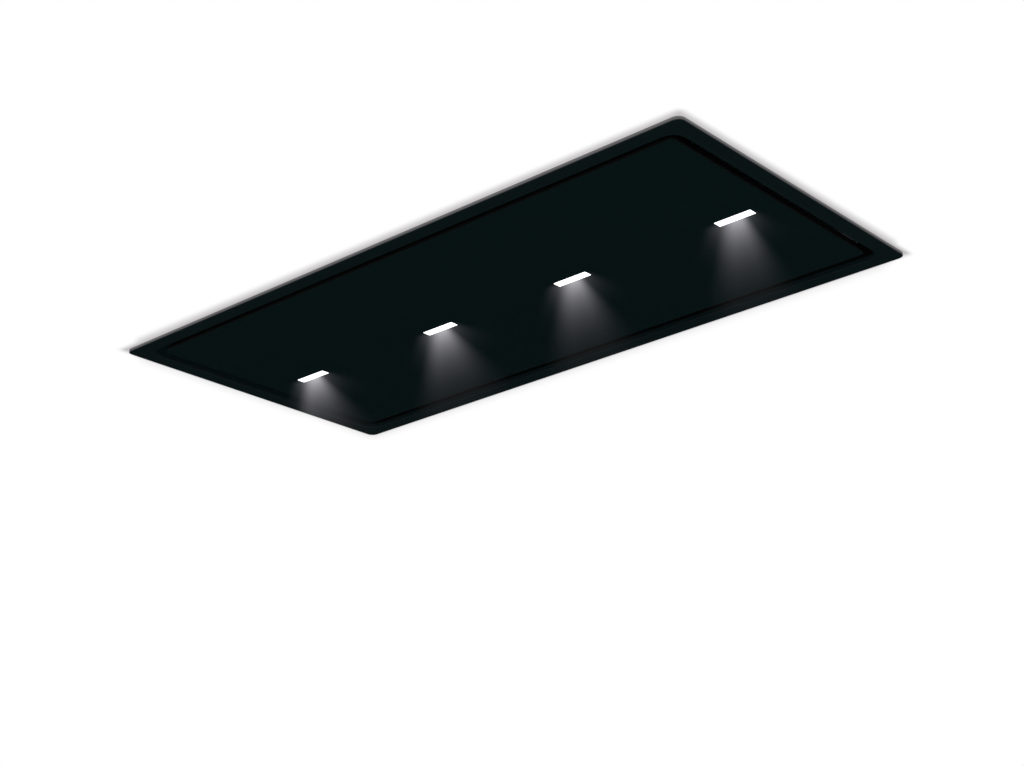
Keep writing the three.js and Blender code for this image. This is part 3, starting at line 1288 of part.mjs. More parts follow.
// ---------------------------------------------------------------- hangers
/** A foot and an upright channel for the slider. Inward is +1 or -1 along Y, to the hood's middle. */
function hangerBase(x, y, inward) {
  const half = HANGER_WIDTH / 2;
  const web = HANGER_THICK;
  const depth = 2 * web + web + 2 * GAP;
  const section = [
    [-half, 0],
    [half, 0],
    [half, depth],
    [half - HANGER_LIP, depth],
    [half - HANGER_LIP, depth - web],
    [half - web, depth - web],
    [half - web, web],
    [web - half, web],
    [web - half, depth - web],
    [HANGER_LIP - half, depth - web],
    [HANGER_LIP - half, depth],
    [-half, depth],
  ];
  const channel = polygon(...section.map(([u, v]) => [x + u, y + inward * v]));
  const footY = y - inward * (HANGER_FOOT / 2 - depth);
  const foot = roundedRect(HANGER_WIDTH, HANGER_FOOT, HANGER_CORNER, x, footY);
  const bolt = circle(SLIDER_SLOT / 2, x, HANGER_TOP - CLAMP_BOLT_DROP);
  const anchor = circle(ANCHOR_HOLE, x, y - inward * BASE_HOLE_REACH);
  return cut(
    join(plate(foot, ON_CASSETTE, ON_CASSETTE + web), plate(channel, ON_CASSETTE, HANGER_TOP)),
    sectionAlongY(bolt, y - web - HOLE_PAST, y + web + HOLE_PAST),
    plate(anchor, ON_CASSETTE - HOLE_PAST, ON_CASSETTE + web + HOLE_PAST),
  );
}

/** The slotted strip that is set to the height of the ceiling void, with its foot for the anchor. */
function hangerSlider(x, y, inward) {
  const width = HANGER_WIDTH - 2 * (HANGER_THICK + GAP);
  const near = y + inward * (HANGER_THICK + GAP);
  const far = near + inward * HANGER_THICK;
  const [y0, y1] = [Math.min(near, far), Math.max(near, far)];
  const strip = block(x - width / 2, x + width / 2, y0, y1, SLIDER_Z, SLIDER_TOP);
  const slotEnd = SLIDER_SLOT / 2 - ROUND_END;
  const slot = roundedRect(SLIDER_SLOT, SLIDER_SLOT_LENGTH, slotEnd, x, SLIDER_TOP - SLIDER_SLOT_DROP);
  const foot = roundedRect(width, SLIDER_FOOT, HANGER_CORNER, x, near + inward * SLIDER_FOOT / 2);
  const anchor = circle(ANCHOR_HOLE, x, near + inward * SLIDER_HOLE_REACH);
  const footZ = SLIDER_TOP - HANGER_THICK;
  return cut(
    join(strip, plate(foot, footZ, SLIDER_TOP)),
    sectionAlongY(slot, y0 - HOLE_PAST, y1 + HOLE_PAST),
    plate(anchor, footZ - HOLE_PAST, SLIDER_TOP + HOLE_PAST),
  );
}

function buildHangers() {
  const group = assembly();
  let number = 0;
  both((endX) => both((endY) => {
    number += 1;
    const x = endX * HANGER_X;
    const y = endY * HANGER_Y;
    place(group, `hanger_base_${number}`, 'zinc', hangerBase(x, y, -endY));
    place(group, `hanger_slider_${number}`, 'steel', hangerSlider(x, y, -endY));
  }));
}

buildFrame();
buildPanel();
buildLights();
buildHingesAndCatches();
buildCassette();
buildFilters();
buildBlower();
buildBlowerBox();
buildOutlet();
buildControlBox();
buildLightDriver();
buildHangers();

export default hood;
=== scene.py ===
"""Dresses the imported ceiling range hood: finishes, small fittings, ceiling, light and camera."""
import json
import logging
import math
from dataclasses import dataclass
from enum import Enum
from typing import Any, Callable, Iterable, Sequence

import bmesh
import bpy
from mathutils import Matrix, Vector


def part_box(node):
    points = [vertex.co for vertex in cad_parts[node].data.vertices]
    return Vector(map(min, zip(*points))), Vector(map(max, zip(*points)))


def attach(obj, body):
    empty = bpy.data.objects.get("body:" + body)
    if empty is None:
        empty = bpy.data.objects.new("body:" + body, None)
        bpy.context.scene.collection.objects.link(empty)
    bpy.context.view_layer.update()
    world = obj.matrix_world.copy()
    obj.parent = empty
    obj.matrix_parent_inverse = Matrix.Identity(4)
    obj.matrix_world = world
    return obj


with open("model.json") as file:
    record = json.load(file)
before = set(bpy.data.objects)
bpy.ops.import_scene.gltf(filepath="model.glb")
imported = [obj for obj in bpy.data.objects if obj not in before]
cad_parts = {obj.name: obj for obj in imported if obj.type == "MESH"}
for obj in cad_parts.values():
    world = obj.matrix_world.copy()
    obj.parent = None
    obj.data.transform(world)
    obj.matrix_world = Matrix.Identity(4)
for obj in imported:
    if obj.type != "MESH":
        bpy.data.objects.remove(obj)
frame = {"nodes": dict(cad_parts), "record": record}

LOG = logging.getLogger("range_hood")
MM = 0.001
X, Y, Z = 0, 1, 2
UP, DOWN = (0.0, 0.0, 1.0), (0.0, 0.0, -1.0)
WHITE = (1.0, 1.0, 1.0)
ALONG_Y = (0.0, 1.0, 0.0)
Key = int | str                                   # a socket's place, or its identifier or name
Span = tuple[float, float]
Triple = tuple[float, float, float]
RGB = tuple[float, float, float]
Pattern = tuple[float, ...]                       # a noise's scale, and its detail and roughness
Spot = tuple[Sequence[float], Sequence[float]]    # where a fixing stands and which way it faces
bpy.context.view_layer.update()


# ---------------------------------------------------------------- shader and node helpers

class Value:
    """A node socket that takes part in Python sums; each operator adds its Math node."""

    def __init__(self, book: "NodeBook", socket: bpy.types.NodeSocket) -> None:
        """Wraps one output socket of the tree that book fills."""
        self.book = book
        self.socket = socket

    def _math(self, operation: str, *others: Any) -> "Value":
        """Adds one Math node whose first input is this socket."""
        return self.book.value("ShaderNodeMath", {"operation": operation}, dict(enumerate((self, *others))))

    def _turned(self, operation: str, other: Any) -> "Value":
        """Adds one Math node whose second input is this socket."""
        return self.book.value("ShaderNodeMath", {"operation": operation}, {0: other, 1: self})

    def __add__(self, other: Any) -> "Value":
        """This socket plus other."""
        return self._math("ADD", other)

    __radd__ = __add__

    def __sub__(self, other: Any) -> "Value":
        """This socket less other."""
        return self._math("SUBTRACT", other)

    def __rsub__(self, other: Any) -> "Value":
        """Other less this socket."""
        return self._turned("SUBTRACT", other)

    def __mul__(self, other: Any) -> "Value":
        """This socket times other."""
        return self._math("MULTIPLY", other)

    __rmul__ = __mul__

    def __truediv__(self, other: Any) -> "Value":
        """This socket divided by other."""
        return self._math("DIVIDE", other)

    def __abs__(self) -> "Value":
        """This socket without its sign."""
        return self._math("ABSOLUTE")

    def __pow__(self, other: Any) -> "Value":
        """This socket raised to other."""
        return self._math("POWER", other)

    def exp(self) -> "Value":
        """The natural exponential of this socket."""
        return self._math("EXPONENT")

    def at_least(self, other: Any) -> "Value":
        """The larger of this socket and other."""
        return self._math("MAXIMUM", other)

    def at_most(self, other: Any) -> "Value":
        """The smaller of this socket and other."""
        return self._math("MINIMUM", other)

    def unit(self) -> "Value":
        """This socket held between 0 and 1."""
        return self.at_least(0.0).at_most(1.0)

    def diagonal(self, other: "Value") -> "Value":
        """How long the diagonal over this socket and other is."""
        return (self * self + other * other) ** 0.5

    def ramp(self, low: float, high: float, start: float = 0.0, end: float = 1.0) -> "Value":
        """Goes smoothly from start to end while this socket goes from low to high.

        Args:
            low: where the change starts.
            high: where it ends.
            start: the result up to low.
            end: the result past high.

        Returns:
            The eased value.
        """
        return self.book.value(
            "ShaderNodeMapRange", {"interpolation_type": "SMOOTHSTEP"},
            {"Value": self, "From Min": low, "From Max": high, "To Min": start, "To Max": end})


class NodeBook:
    """Fills one node tree; every node comes from its add method."""

    def __init__(self, tree: bpy.types.NodeTree) -> None:
        """Starts on an empty tree."""
        self.tree = tree
        tree.nodes.clear()

    @staticmethod
    def socket(sockets: Any, key: Key) -> bpy.types.NodeSocket:
        """Finds one of a node's sockets.

        Args:
            sockets: the node's inputs or outputs.
            key: the socket's place, its identifier or its name.

        Returns:
            The socket.
        """
        if isinstance(key, int):
            return sockets[key]
        return next((s for s in sockets if s.identifier == key), None) or sockets[key]

    def add(self, kind: str, settings: dict[str, Any] | None = None,
            sockets: dict[Key, Any] | None = None) -> bpy.types.Node:
        """Adds one node, its settings first and then the values or links of its sockets.

        Args:
            kind: the node's type.
            settings: properties of the node, such as a Math node's operation.
            sockets: values, wrapped sockets or sockets, by place, identifier or name.

        Returns:
            The new node.
        """
        node = self.tree.nodes.new(kind)
        for name, setting in (settings or {}).items():
            setattr(node, name, setting)
        for key, item in (sockets or {}).items():
            self.feed(self.socket(node.inputs, key), item)
        return node

    def feed(self, target: bpy.types.NodeSocket, item: Any) -> None:
        """Links item to target, or sets it as target's value.

        Args:
            target: the input socket.
            item: a wrapped socket, a socket or a plain value.
        """
        source = item.socket if isinstance(item, Value) else item
        if isinstance(source, bpy.types.NodeSocket):
            self.tree.links.new(source, target)
        else:
            target.default_value = source

    def value(self, kind: str, settings: dict[str, Any] | None = None,
              sockets: dict[Key, Any] | None = None, output: Key = 0) -> Value:
        """Adds one node and wraps one of its outputs."""
        return Value(self, self.socket(self.add(kind, settings, sockets).outputs, output))

    def mix(self, factor: Any, first: Any, second: Any) -> Value:
        """Blends two colours.

        Args:
            factor: 0 for the first colour, 1 for the second.
            first: a colour, as a wrapped socket or three numbers.
            second: the other colour.

        Returns:
            The blend.
        """
        first, second = (c if isinstance(c, Value) else (*c, 1.0) for c in (first, second))
        return self.value("ShaderNodeMix", {"data_type": "RGBA"},
                          {"Factor_Float": factor, "A_Color": first, "B_Color": second}, "Result_Color")

    def place(self, scale: Sequence[float] = (1, 1, 1), turn: Sequence[float] = (0, 0, 0)) -> Value:
        """The object's own coordinates, stretched by scale and turned."""
        here = self.value("ShaderNodeTexCoord", output="Object")
        return self.value("ShaderNodeMapping", None, {"Vector": here, "Scale": scale, "Rotation": turn})

    def along(self, axis: int) -> Value:
        """One of the object's own coordinates in metres: 0 for X, 1 for Y, 2 for Z."""
        here = self.value("ShaderNodeTexCoord", output="Object")
        return self.value("ShaderNodeSeparateXYZ", None, {0: here}, axis)

    def noise(self, where: Value, scale: float, detail: float = 3.0, rough: float = 0.55) -> Value:
        """A cloudy pattern from 0 to 1."""
        return self.value("ShaderNodeTexNoise", None,
                          {"Vector": where, "Scale": scale, "Detail": detail, "Roughness": rough}, "Fac")

    def cells(self, where: Value, scale: float) -> Value:
        """A patchwork in which each patch has its own number from 0 to 1."""
        colour = self.value("ShaderNodeTexVoronoi", None, {"Vector": where, "Scale": scale}, "Color")
        return self.value("ShaderNodeSeparateColor", None, {0: colour}, 0)

    def bump(self, height: Any, strength: float, distance: float) -> Value:
        """A surface relief; distance is how deep it is, in metres."""
        return self.value("ShaderNodeBump", None,
                          {"Height": height, "Strength": strength, "Distance": distance})


def new_material(name: str) -> tuple[bpy.types.Material, NodeBook]:
    """Starts a material without nodes.

    Args:
        name: the material's name.

    Returns:
        The material and the book that fills it.
    """
    made = bpy.data.materials.new(name)
    made.use_nodes = True
    return made, NodeBook(made.node_tree)


def half_of(node: str, inset: float = 0.0) -> Span:
    """Half the length and width of a node that lies round the hood's middle, less inset."""
    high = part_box(node)[1]
    return float(high[X]) - inset, float(high[Y]) - inset


# ---------------------------------------------------------------- finishes

BLACK_SPECULAR = 0.35
BLACKED_METAL_SPECULAR = 0.12
# the black that stands for the shade in the suction slot: painted shade
PAINTED_SLOT_SHADE = (0.0012, 0.0014, 0.0015)


@dataclass(frozen=True)
class Finish:
    """A finish of the hood: its name in the record and how its surface looks.

    The tones are the darkest and the lightest shade of the colour, as factors. The relief is how
    strongly the surface's bumps show and how deep they are.
    """

    slot: str
    colour: RGB
    roughness: float
    metallic: float = 0.0
    tones: Span = (1.0, 1.0)
    relief: Span = (0.3, 0.05 * MM)

    def material(self) -> bpy.types.Material:
        """The finish as a material, made the first time it is asked for.

        Returns:
            The material.
        """
        name = "finish_" + self.slot
        known = bpy.data.materials.get(name)
        if known:
            return known
        made, book = new_material(name)
        shader = book.add("ShaderNodeBsdfPrincipled", None,
                          {"Base Color": (*self.colour, 1.0), "Roughness": self.roughness,
                           "Metallic": self.metallic})
        book.add("ShaderNodeOutputMaterial", None, {"Surface": shader.outputs[0]})
        for key, item in self.surface(book).items():
            book.feed(book.socket(shader.inputs, key), item)
        return made

    def surface(self, book: NodeBook) -> dict[str, Any]:
        """What the finish sets on its shader; each finish has its own.

        Args:
            book: the material's nodes.

        Returns:
            Values and wrapped sockets, by the names of the shader's sockets.
        """
        raise NotImplementedError

    def shade(self, amount: float) -> RGB:
        """The finish's colour, lighter or darker by that factor."""
        return tuple(min(1.0, c * amount) for c in self.colour)

    def tinted(self, factors: Sequence[float]) -> RGB:
        """The finish's colour with each of its three parts times its factor."""
        return tuple(c * factor for c, factor in zip(self.colour, factors))

    def toned(self, book: NodeBook, pattern: Value) -> Value:
        """The colour between its two tones, as pattern goes from 0 to 1."""
        return book.mix(pattern, self.shade(self.tones[0]), self.shade(self.tones[1]))

    def uneven(self, *patterns: tuple[Value, float]) -> Value:
        """The roughness, moved up and down by patterns that go from 0 to 1.

        Args:
            patterns: each pattern and how far it moves the roughness in all.

        Returns:
            The uneven roughness.
        """
        rough = self.roughness
        for pattern, spread in patterns:
            rough = rough + (pattern - 0.5) * spread
        return rough

    def rise(self, book: NodeBook, height: Value) -> Value:
        """The relief that height makes."""
        return book.bump(height, *self.relief)


@dataclass(frozen=True)
class SatinPaint(Finish):
    """Powder-coated sheet: near black, with the fine orange peel of baked powder."""

    tones: Span = (0.85, 1.15)
    relief: Span = (0.25, 0.05 * MM)
    cloud: Pattern = (6.0,)
    peel: Pattern = (900.0, 2.0)
    cloud_gloss: float = 0.08

    def surface(self, book: NodeBook) -> dict[str, Any]:
        """Faint cloud in the colour, uneven gloss and orange peel.

        Args:
            book: the material's nodes.

        Returns:
            Values and wrapped sockets, by the names of the shader's sockets.
        """
        where = book.place()
        cloud = book.noise(where, *self.cloud)
        peel = book.noise(where, *self.peel)
        return {"Base Color": self.toned(book, cloud),
                "Roughness": self.uneven((cloud, self.cloud_gloss)),
                "Normal": self.rise(book, peel),
                "Specular IOR Level": BLACK_SPECULAR}


@dataclass(frozen=True)
class BlackGlass(Finish):
    """Back-printed tempered glass: deep, dark and even, with a trace of haze and dust."""

    tones: Span = (0.94, 1.06)
    relief: Span = (0.05, 0.1 * MM)
    haze: Pattern = (3.5,)
    dust: Pattern = (1400.0, 1.0)
    dusty: Span = (0.68, 0.78)
    haze_gloss: float = 0.05
    dust_dulls: float = 0.1

    def surface(self, book: NodeBook) -> dict[str, Any]:
        """Haze in wide clouds and fine dust that dulls the gloss.

        Args:
            book: the material's nodes.

        Returns:
            Values and wrapped sockets, by the names of the shader's sockets.
        """
        where = book.place()
        haze = book.noise(where, *self.haze)
        dust = book.noise(where, *self.dust).ramp(*self.dusty)
        return {"Base Color": self.toned(book, haze),
                "Roughness": self.uneven((haze, self.haze_gloss)) + dust * self.dust_dulls,
                "Normal": self.rise(book, haze),
                "Specular IOR Level": BLACK_SPECULAR}


@dataclass(frozen=True)
class BrushedMetal(Finish):
    """Ground sheet or bar with fine lines along one way."""

    tones: Span = (0.72, 1.25)
    relief: Span = (0.35, 0.02 * MM)
    stretch: Triple = (3.0, 240.0, 240.0)
    lines: Pattern = (6.0, 4.0, 0.7)
    cloud: Pattern = (8.0,)
    shares: Span = (0.7, 0.3)
    line_gloss: float = 0.22

    def surface(self, book: NodeBook) -> dict[str, Any]:
        """Long grinding lines that change colour, gloss and relief.

        Args:
            book: the material's nodes.

        Returns:
            Values and wrapped sockets, by the names of the shader's sockets.
        """
        lines = book.noise(book.place(self.stretch), *self.lines)
        cloud = book.noise(book.place(), *self.cloud)
        return {"Base Color": self.toned(book, lines * self.shares[0] + cloud * self.shares[1]),
                "Roughness": self.uneven((lines, self.line_gloss)),
                "Normal": self.rise(book, lines)}


@dataclass(frozen=True)
class Galvanised(Finish):
    """Hot-dip zinc sheet: frost-flower crystals, rolling marks and a dull bloom."""

    tones: Span = (0.78, 1.2)
    relief: Span = (0.12, 0.05 * MM)
    spangles: Span = (120.0, 312.0)
    warp_scale: float = 60.0
    warp_detail: float = 2.0
    warp: float = 0.006
    bloom: Pattern = (7.0, 4.0)
    scratch_stretch: Triple = (2.0, 90.0, 90.0)
    scratch: Pattern = (9.0, 2.0)
    scratched: Span = (0.62, 0.74)
    tone_shares: Triple = (0.5, 0.25, 0.25)
    height_shares: Span = (0.6, 0.4)
    spangle_gloss: float = 0.14
    bloom_gloss: float = 0.2
    scratch_shines: float = 0.06

    def surface(self, book: NodeBook) -> dict[str, Any]:
        """Crystals of two sizes, each with its own tone and gloss, under a cloudy bloom.

        Args:
            book: the material's nodes.

        Returns:
            Values and wrapped sockets, by the names of the shader's sockets.
        """
        where = book.place()
        warped = book.value("ShaderNodeTexNoise", None,
                            {"Vector": where, "Scale": self.warp_scale, "Detail": self.warp_detail}, "Color")
        bent = book.value("ShaderNodeVectorMath", {"operation": "MULTIPLY_ADD"},
                          {0: warped, 1: (self.warp,) * 3, 2: where})
        large, small = (book.cells(bent, scale) for scale in self.spangles)
        bloom = book.noise(where, *self.bloom)
        scratches = book.noise(book.place(self.scratch_stretch), *self.scratch).ramp(*self.scratched)
        of_large, of_small, of_bloom = self.tone_shares
        tone = large * of_large + small * of_small + bloom * of_bloom
        rough = self.uneven((large, self.spangle_gloss), (bloom, self.bloom_gloss))
        return {"Base Color": self.toned(book, tone),
                "Roughness": rough - scratches * self.scratch_shines,
                "Normal": self.rise(book, large * self.height_shares[0] + small * self.height_shares[1])}


@dataclass(frozen=True)
class MillAluminium(Finish):
    """Rolled aluminium: soft, pale, with drawing lines and a greyish skin."""

    tones: Span = (0.8, 1.18)
    relief: Span = (0.25, 0.03 * MM)
    cloud: Pattern = (14.0, 4.0)
    stretch: Triple = (4.0, 160.0, 160.0)
    drawn: Pattern = (5.0, 3.0)
    pits: Pattern = (1100.0, 1.0)
    shares: Span = (0.6, 0.4)
    cloud_gloss: float = 0.18
    drawn_gloss: float = 0.1

    def surface(self, book: NodeBook) -> dict[str, Any]:
        """Wide clouds, drawing lines and tiny pits.

        Args:
            book: the material's nodes.

        Returns:
            Values and wrapped sockets, by the names of the shader's sockets.
        """
        where = book.place()
        cloud = book.noise(where, *self.cloud)
        drawn = book.noise(book.place(self.stretch), *self.drawn)
        pits = book.noise(where, *self.pits)
        more, less = self.shares
        return {"Base Color": self.toned(book, cloud * more + drawn * less),
                "Roughness": self.uneven((cloud, self.cloud_gloss), (drawn, self.drawn_gloss)),
                "Normal": self.rise(book, drawn * more + pits * less)}


@dataclass(frozen=True)
class CastMetal(Finish):
    """Die-cast or sintered metal: grainy skin with darker hollows."""

    tones: Span = (0.62, 1.3)
    relief: Span = (0.5, 0.08 * MM)
    grain: Pattern = (700.0, 3.0, 0.7)
    flow: Pattern = (30.0, 3.0)
    shares: Span = (0.6, 0.4)
    grain_gloss: float = 0.25

    def surface(self, book: NodeBook) -> dict[str, Any]:
        """Grain, flow marks and darker low spots.

        Args:
            book: the material's nodes.

        Returns:
            Values and wrapped sockets, by the names of the shader's sockets.
        """
        where = book.place()
        grain = book.noise(where, *self.grain)
        flow = book.noise(where, *self.flow)
        return {"Base Color": self.toned(book, grain * self.shares[0] + flow * self.shares[1]),
                "Roughness": self.uneven((grain, self.grain_gloss)),
                "Normal": self.rise(book, grain)}


@dataclass(frozen=True)
class PlatedSteel(Finish):
    """Bright zinc plating with a faint yellow-blue passivation and handling marks."""

    relief: Span = (0.2, 0.02 * MM)
    tint: Pattern = (45.0, 2.0)
    warm: Triple = (1.05, 1.0, 0.88)
    cool: Triple = (0.90, 0.98, 1.08)
    stretch: Triple = (30.0, 500.0, 120.0)
    marks: Pattern = (2.0, 4.0, 0.7)
    mark_gloss: float = 0.25

    def surface(self, book: NodeBook) -> dict[str, Any]:
        """Passivation tints in clouds and fine scratches.

        Args:
            book: the material's nodes.

        Returns:
            Values and wrapped sockets, by the names of the shader's sockets.
        """
        tint = book.noise(book.place(), *self.tint)
        marks = book.noise(book.place(self.stretch), *self.marks)
        return {"Base Color": book.mix(tint, self.tinted(self.warm), self.tinted(self.cool)),
                "Roughness": self.uneven((marks, self.mark_gloss)),
                "Normal": self.rise(book, marks)}


@dataclass(frozen=True)
class MouldedPlastic(Finish):
    """Moulded plastic with a spark-eroded grain and slightly uneven sheen."""

    tones: Span = (0.86, 1.14)
    relief: Span = (0.35, 0.05 * MM)
    grain: Pattern = (1500.0, 2.0)
    sink: Pattern = (22.0, 2.0)
    sink_gloss: float = 0.14
    grain_gloss: float = 0.1

    def surface(self, book: NodeBook) -> dict[str, Any]:
        """Fine grain, sink marks in the sheen and a trace of cloud in the colour.

        Args:
            book: the material's nodes.

        Returns:
            Values and wrapped sockets, by the names of the shader's sockets.
        """
        where = book.place()
        grain = book.noise(where, *self.grain)
        sink = book.noise(where, *self.sink)
        return {"Base Color": self.toned(book, sink),
                "Roughness": self.uneven((sink, self.sink_gloss), (grain, self.grain_gloss)),
                "Normal": self.rise(book, grain)}


@dataclass(frozen=True)
class Foam(Finish):
    """Closed-cell sealing foam: open skin of small cells."""

    tones: Span = (0.55, 1.5)
    relief: Span = (0.8, 0.4 * MM)
    cell_scale: float = 900.0
    cloud: Pattern = (60.0,)
    cloud_gloss: float = 0.1

    def surface(self, book: NodeBook) -> dict[str, Any]:
        """Small round cells, dark in the middle.

        Args:
            book: the material's nodes.

        Returns:
            Values and wrapped sockets, by the names of the shader's sockets.
        """
        where = book.place()
        cell = book.value("ShaderNodeTexVoronoi", None,
                          {"Vector": where, "Scale": self.cell_scale}, "Distance")
        cloud = book.noise(where, *self.cloud)
        return {"Base Color": self.toned(book, cell),
                "Roughness": self.uneven((cloud, self.cloud_gloss)),
                "Normal": self.rise(book, cell)}


@dataclass(frozen=True)
class PrintedBoard(Finish):
    """Circuit board: green lacquer over copper tracks."""

    relief: Span = (0.4, 0.05 * MM)
    across: Triple = (90.0, 700.0, 1.0)
    down: Triple = (700.0, 90.0, 1.0)
    across_from: Span = (0.55, 0.6)
    down_from: Span = (0.62, 0.66)
    track: RGB = (0.05, 0.22, 0.08)
    track_shines: float = 0.08

    def surface(self, book: NodeBook) -> dict[str, Any]:
        """Tracks on a square grid that show paler through the lacquer.

        Args:
            book: the material's nodes.

        Returns:
            Values and wrapped sockets, by the names of the shader's sockets.
        """
        across = book.cells(book.place(self.across), 1.0).ramp(*self.across_from)
        down = book.cells(book.place(self.down), 1.0).ramp(*self.down_from)
        tracks = (across + down).at_most(1.0)
        return {"Base Color": book.mix(tracks, self.colour, self.track),
                "Roughness": self.roughness - tracks * self.track_shines,
                "Normal": self.rise(book, tracks)}


@dataclass(frozen=True)
class Diffuser(Finish):
    """Frosted light cover, lit from behind: brightest over the diodes, still white at its ends."""

    tones: Span = (0.95, 1.0)
    relief: Span = (0.3, 0.05 * MM)
    frost: Pattern = (1200.0, 2.0)
    glow: float = 1.6
    pitch: float = 8.0 * MM
    between: RGB = (0.93, 0.95, 1.0)
    over_diode: RGB = WHITE

    def surface(self, book: NodeBook) -> dict[str, Any]:
        """A row of soft bright spots along the bar over an even white.

        Args:
            book: the material's nodes.

        Returns:
            Values and wrapped sockets, by the names of the shader's sockets.
        """
        wave = book.value("ShaderNodeMath", {"operation": "SINE"},
                          {0: book.along(X) * (math.tau / self.pitch)})
        frost = book.noise(book.place(), *self.frost)
        return {"Base Color": self.toned(book, frost),
                "Emission Color": book.mix(wave * 0.5 + 0.5, self.between, self.over_diode),
                "Emission Strength": self.glow,
                "Normal": self.rise(book, frost)}


@dataclass(frozen=True)
class SlotShadeBlack(Finish):
    """A finish with painted shade, a matt black, on one side of a rectangle round the hood's middle.

    The painted shade lies outside the rectangle of half sizes half, or inside it where inward is true.
    Below the foot's level plus its rise the bare finish gets darker, as painted shade.
    """

    under: Finish | None = None
    half: Span = (0.5, 0.25)
    corner: float = 4.5 * MM
    inward: bool = True
    # the black of the slot's painted shade
    paint: RGB = PAINTED_SLOT_SHADE
    # the lighter black at the slot's short ends: painted light
    end_paint: RGB = PAINTED_SLOT_SHADE
    paint_roughness: float = 0.6
    edge: float = 0.15 * MM
    end_depth: float = 4 * MM
    foot: float = -1.0
    foot_rise: float = 3.6 * MM
    foot_shade: float = 0.42

    def surface(self, book: NodeBook) -> dict[str, Any]:
        """The first finish, darker at its foot, with matt black over the zone: both are painted shade.

        Args:
            book: the material's nodes.

        Returns:
            Values and wrapped sockets, by the names of the shader's sockets.
        """
        look = self.under.surface(book)
        half_x, half_y = self.half
        across = (abs(book.along(X)) - (half_x - self.corner)).at_least(0.0)
        deep = (abs(book.along(Y)) - (half_y - self.corner)).at_least(0.0)
        beyond = (across.diagonal(deep) - self.corner).ramp(-self.edge, self.edge)
        # painted shade: black where the suction slot lies in shade
        painted = (1.0 - beyond) if self.inward else beyond
        clear = 1.0 - painted
        # lighter towards the short ends: painted light over the slot's shade
        lighter_end = (abs(book.along(X)) - (half_x - self.end_depth)).ramp(-self.edge, self.edge)
        colour = book.mix(lighter_end, self.paint, self.end_paint)
        # darker towards the foot: painted shade
        lit = book.along(Z).ramp(self.foot, self.foot + self.foot_rise, self.foot_shade, 1.0)
        bare = book.mix(lit, (0.0, 0.0, 0.0), look["Base Color"])
        return {"Base Color": book.mix(painted, bare, colour),
                "Metallic": clear * self.metallic,
                "Roughness": look["Roughness"] * clear + painted * self.paint_roughness,
                "Normal": look["Normal"],
                "Specular IOR Level": BLACKED_METAL_SPECULAR if self.metallic else BLACK_SPECULAR}


class Finishes(Enum):
    """Every finish of the hood, by its name in the record."""

    BLACK_PAINT = SatinPaint("black_paint", (0.0024, 0.0078, 0.0086), 0.36)
    BLACK_GLASS = BlackGlass("black_glass", (0.0027, 0.0088, 0.0096), 0.16)
    BRUSHED_RIM = BrushedMetal("brushed_rim", (0.53, 0.54, 0.555), 0.36, 1.0)
    FOAM = Foam("foam", (0.03, 0.03, 0.032), 0.9)
    ZINC = Galvanised("zinc", (0.50, 0.52, 0.54), 0.42, 1.0)
    DIFFUSER = Diffuser("diffuser", (0.95, 0.95, 0.95), 0.5)
    ALUMINIUM = MillAluminium("aluminium", (0.70, 0.71, 0.72), 0.44, 1.0)
    CAST_ALUMINIUM = CastMetal("cast_aluminium", (0.48, 0.49, 0.50), 0.48, 1.0)
    STEEL = PlatedSteel("steel", (0.58, 0.59, 0.60), 0.30, 1.0)
    MAGNET = CastMetal("magnet", (0.22, 0.225, 0.23), 0.35, 1.0, grain=(1400.0, 3.0, 0.7))
    BLACK_PLASTIC = MouldedPlastic("black_plastic", (0.014, 0.014, 0.015), 0.5)
    GREY_PLASTIC = MouldedPlastic("grey_plastic", (0.52, 0.54, 0.53), 0.45)
    BOARD = PrintedBoard("board", (0.02, 0.12, 0.05), 0.32)

    def blacked(self, name: str, half: Span, **sizes: Any) -> SlotShadeBlack:
        """This finish with painted shade, a matt black, over a part of it.

        Args:
            name: the new finish's name.
            half: half the length and width of the rectangle that the painted shade keeps to.
            sizes: the other fields of the finish with painted shade.

        Returns:
            The finish with its painted shade.
        """
        bare = self.value
        return SlotShadeBlack(name, bare.colour, bare.roughness, bare.metallic, under=bare, half=half, **sizes)

    @classmethod
    def partly_black(cls) -> dict[str, Finish]:
        """The nodes that are given black where the suction slot shows them, as painted shade.

        Returns:
            Their finishes, by node name.
        """
        face = cls.BLACK_PAINT.value
        # lighter blacks for the slot's short ends: painted light
        wall_end_light, lip_end_light = face.shade(2.6), face.shade(1.5)
        return {
            "cassette": cls.ZINC.blacked("zinc_black_inside", half_of("cassette_roof", 0.4 * MM),
                                         end_paint=wall_end_light),
            "panel_tray": cls.ZINC.blacked("zinc_black_sides", half_of("panel_tray", 1.2 * MM),
                                           corner=5 * MM, inward=False),
            "panel_glass": cls.BLACK_GLASS.blacked("glass_black_sides", half_of("panel_glass", 0.5 * MM),
                                                   corner=7.5 * MM, inward=False),
            "rim_frame": cls.BRUSHED_RIM.blacked("rim_black_inside", half_of("rim_frame", 15 * MM),
                                                 corner=12 * MM, paint=face.colour, end_paint=lip_end_light,
                                                 foot=-5.2 * MM),
        }

    @classmethod
    def of_slot(cls, slot: str) -> Finish:
        """The finish that the record's slot names."""
        return next(f.value for f in cls if f.value.slot == slot)


# ---------------------------------------------------------------- carried-over nodes

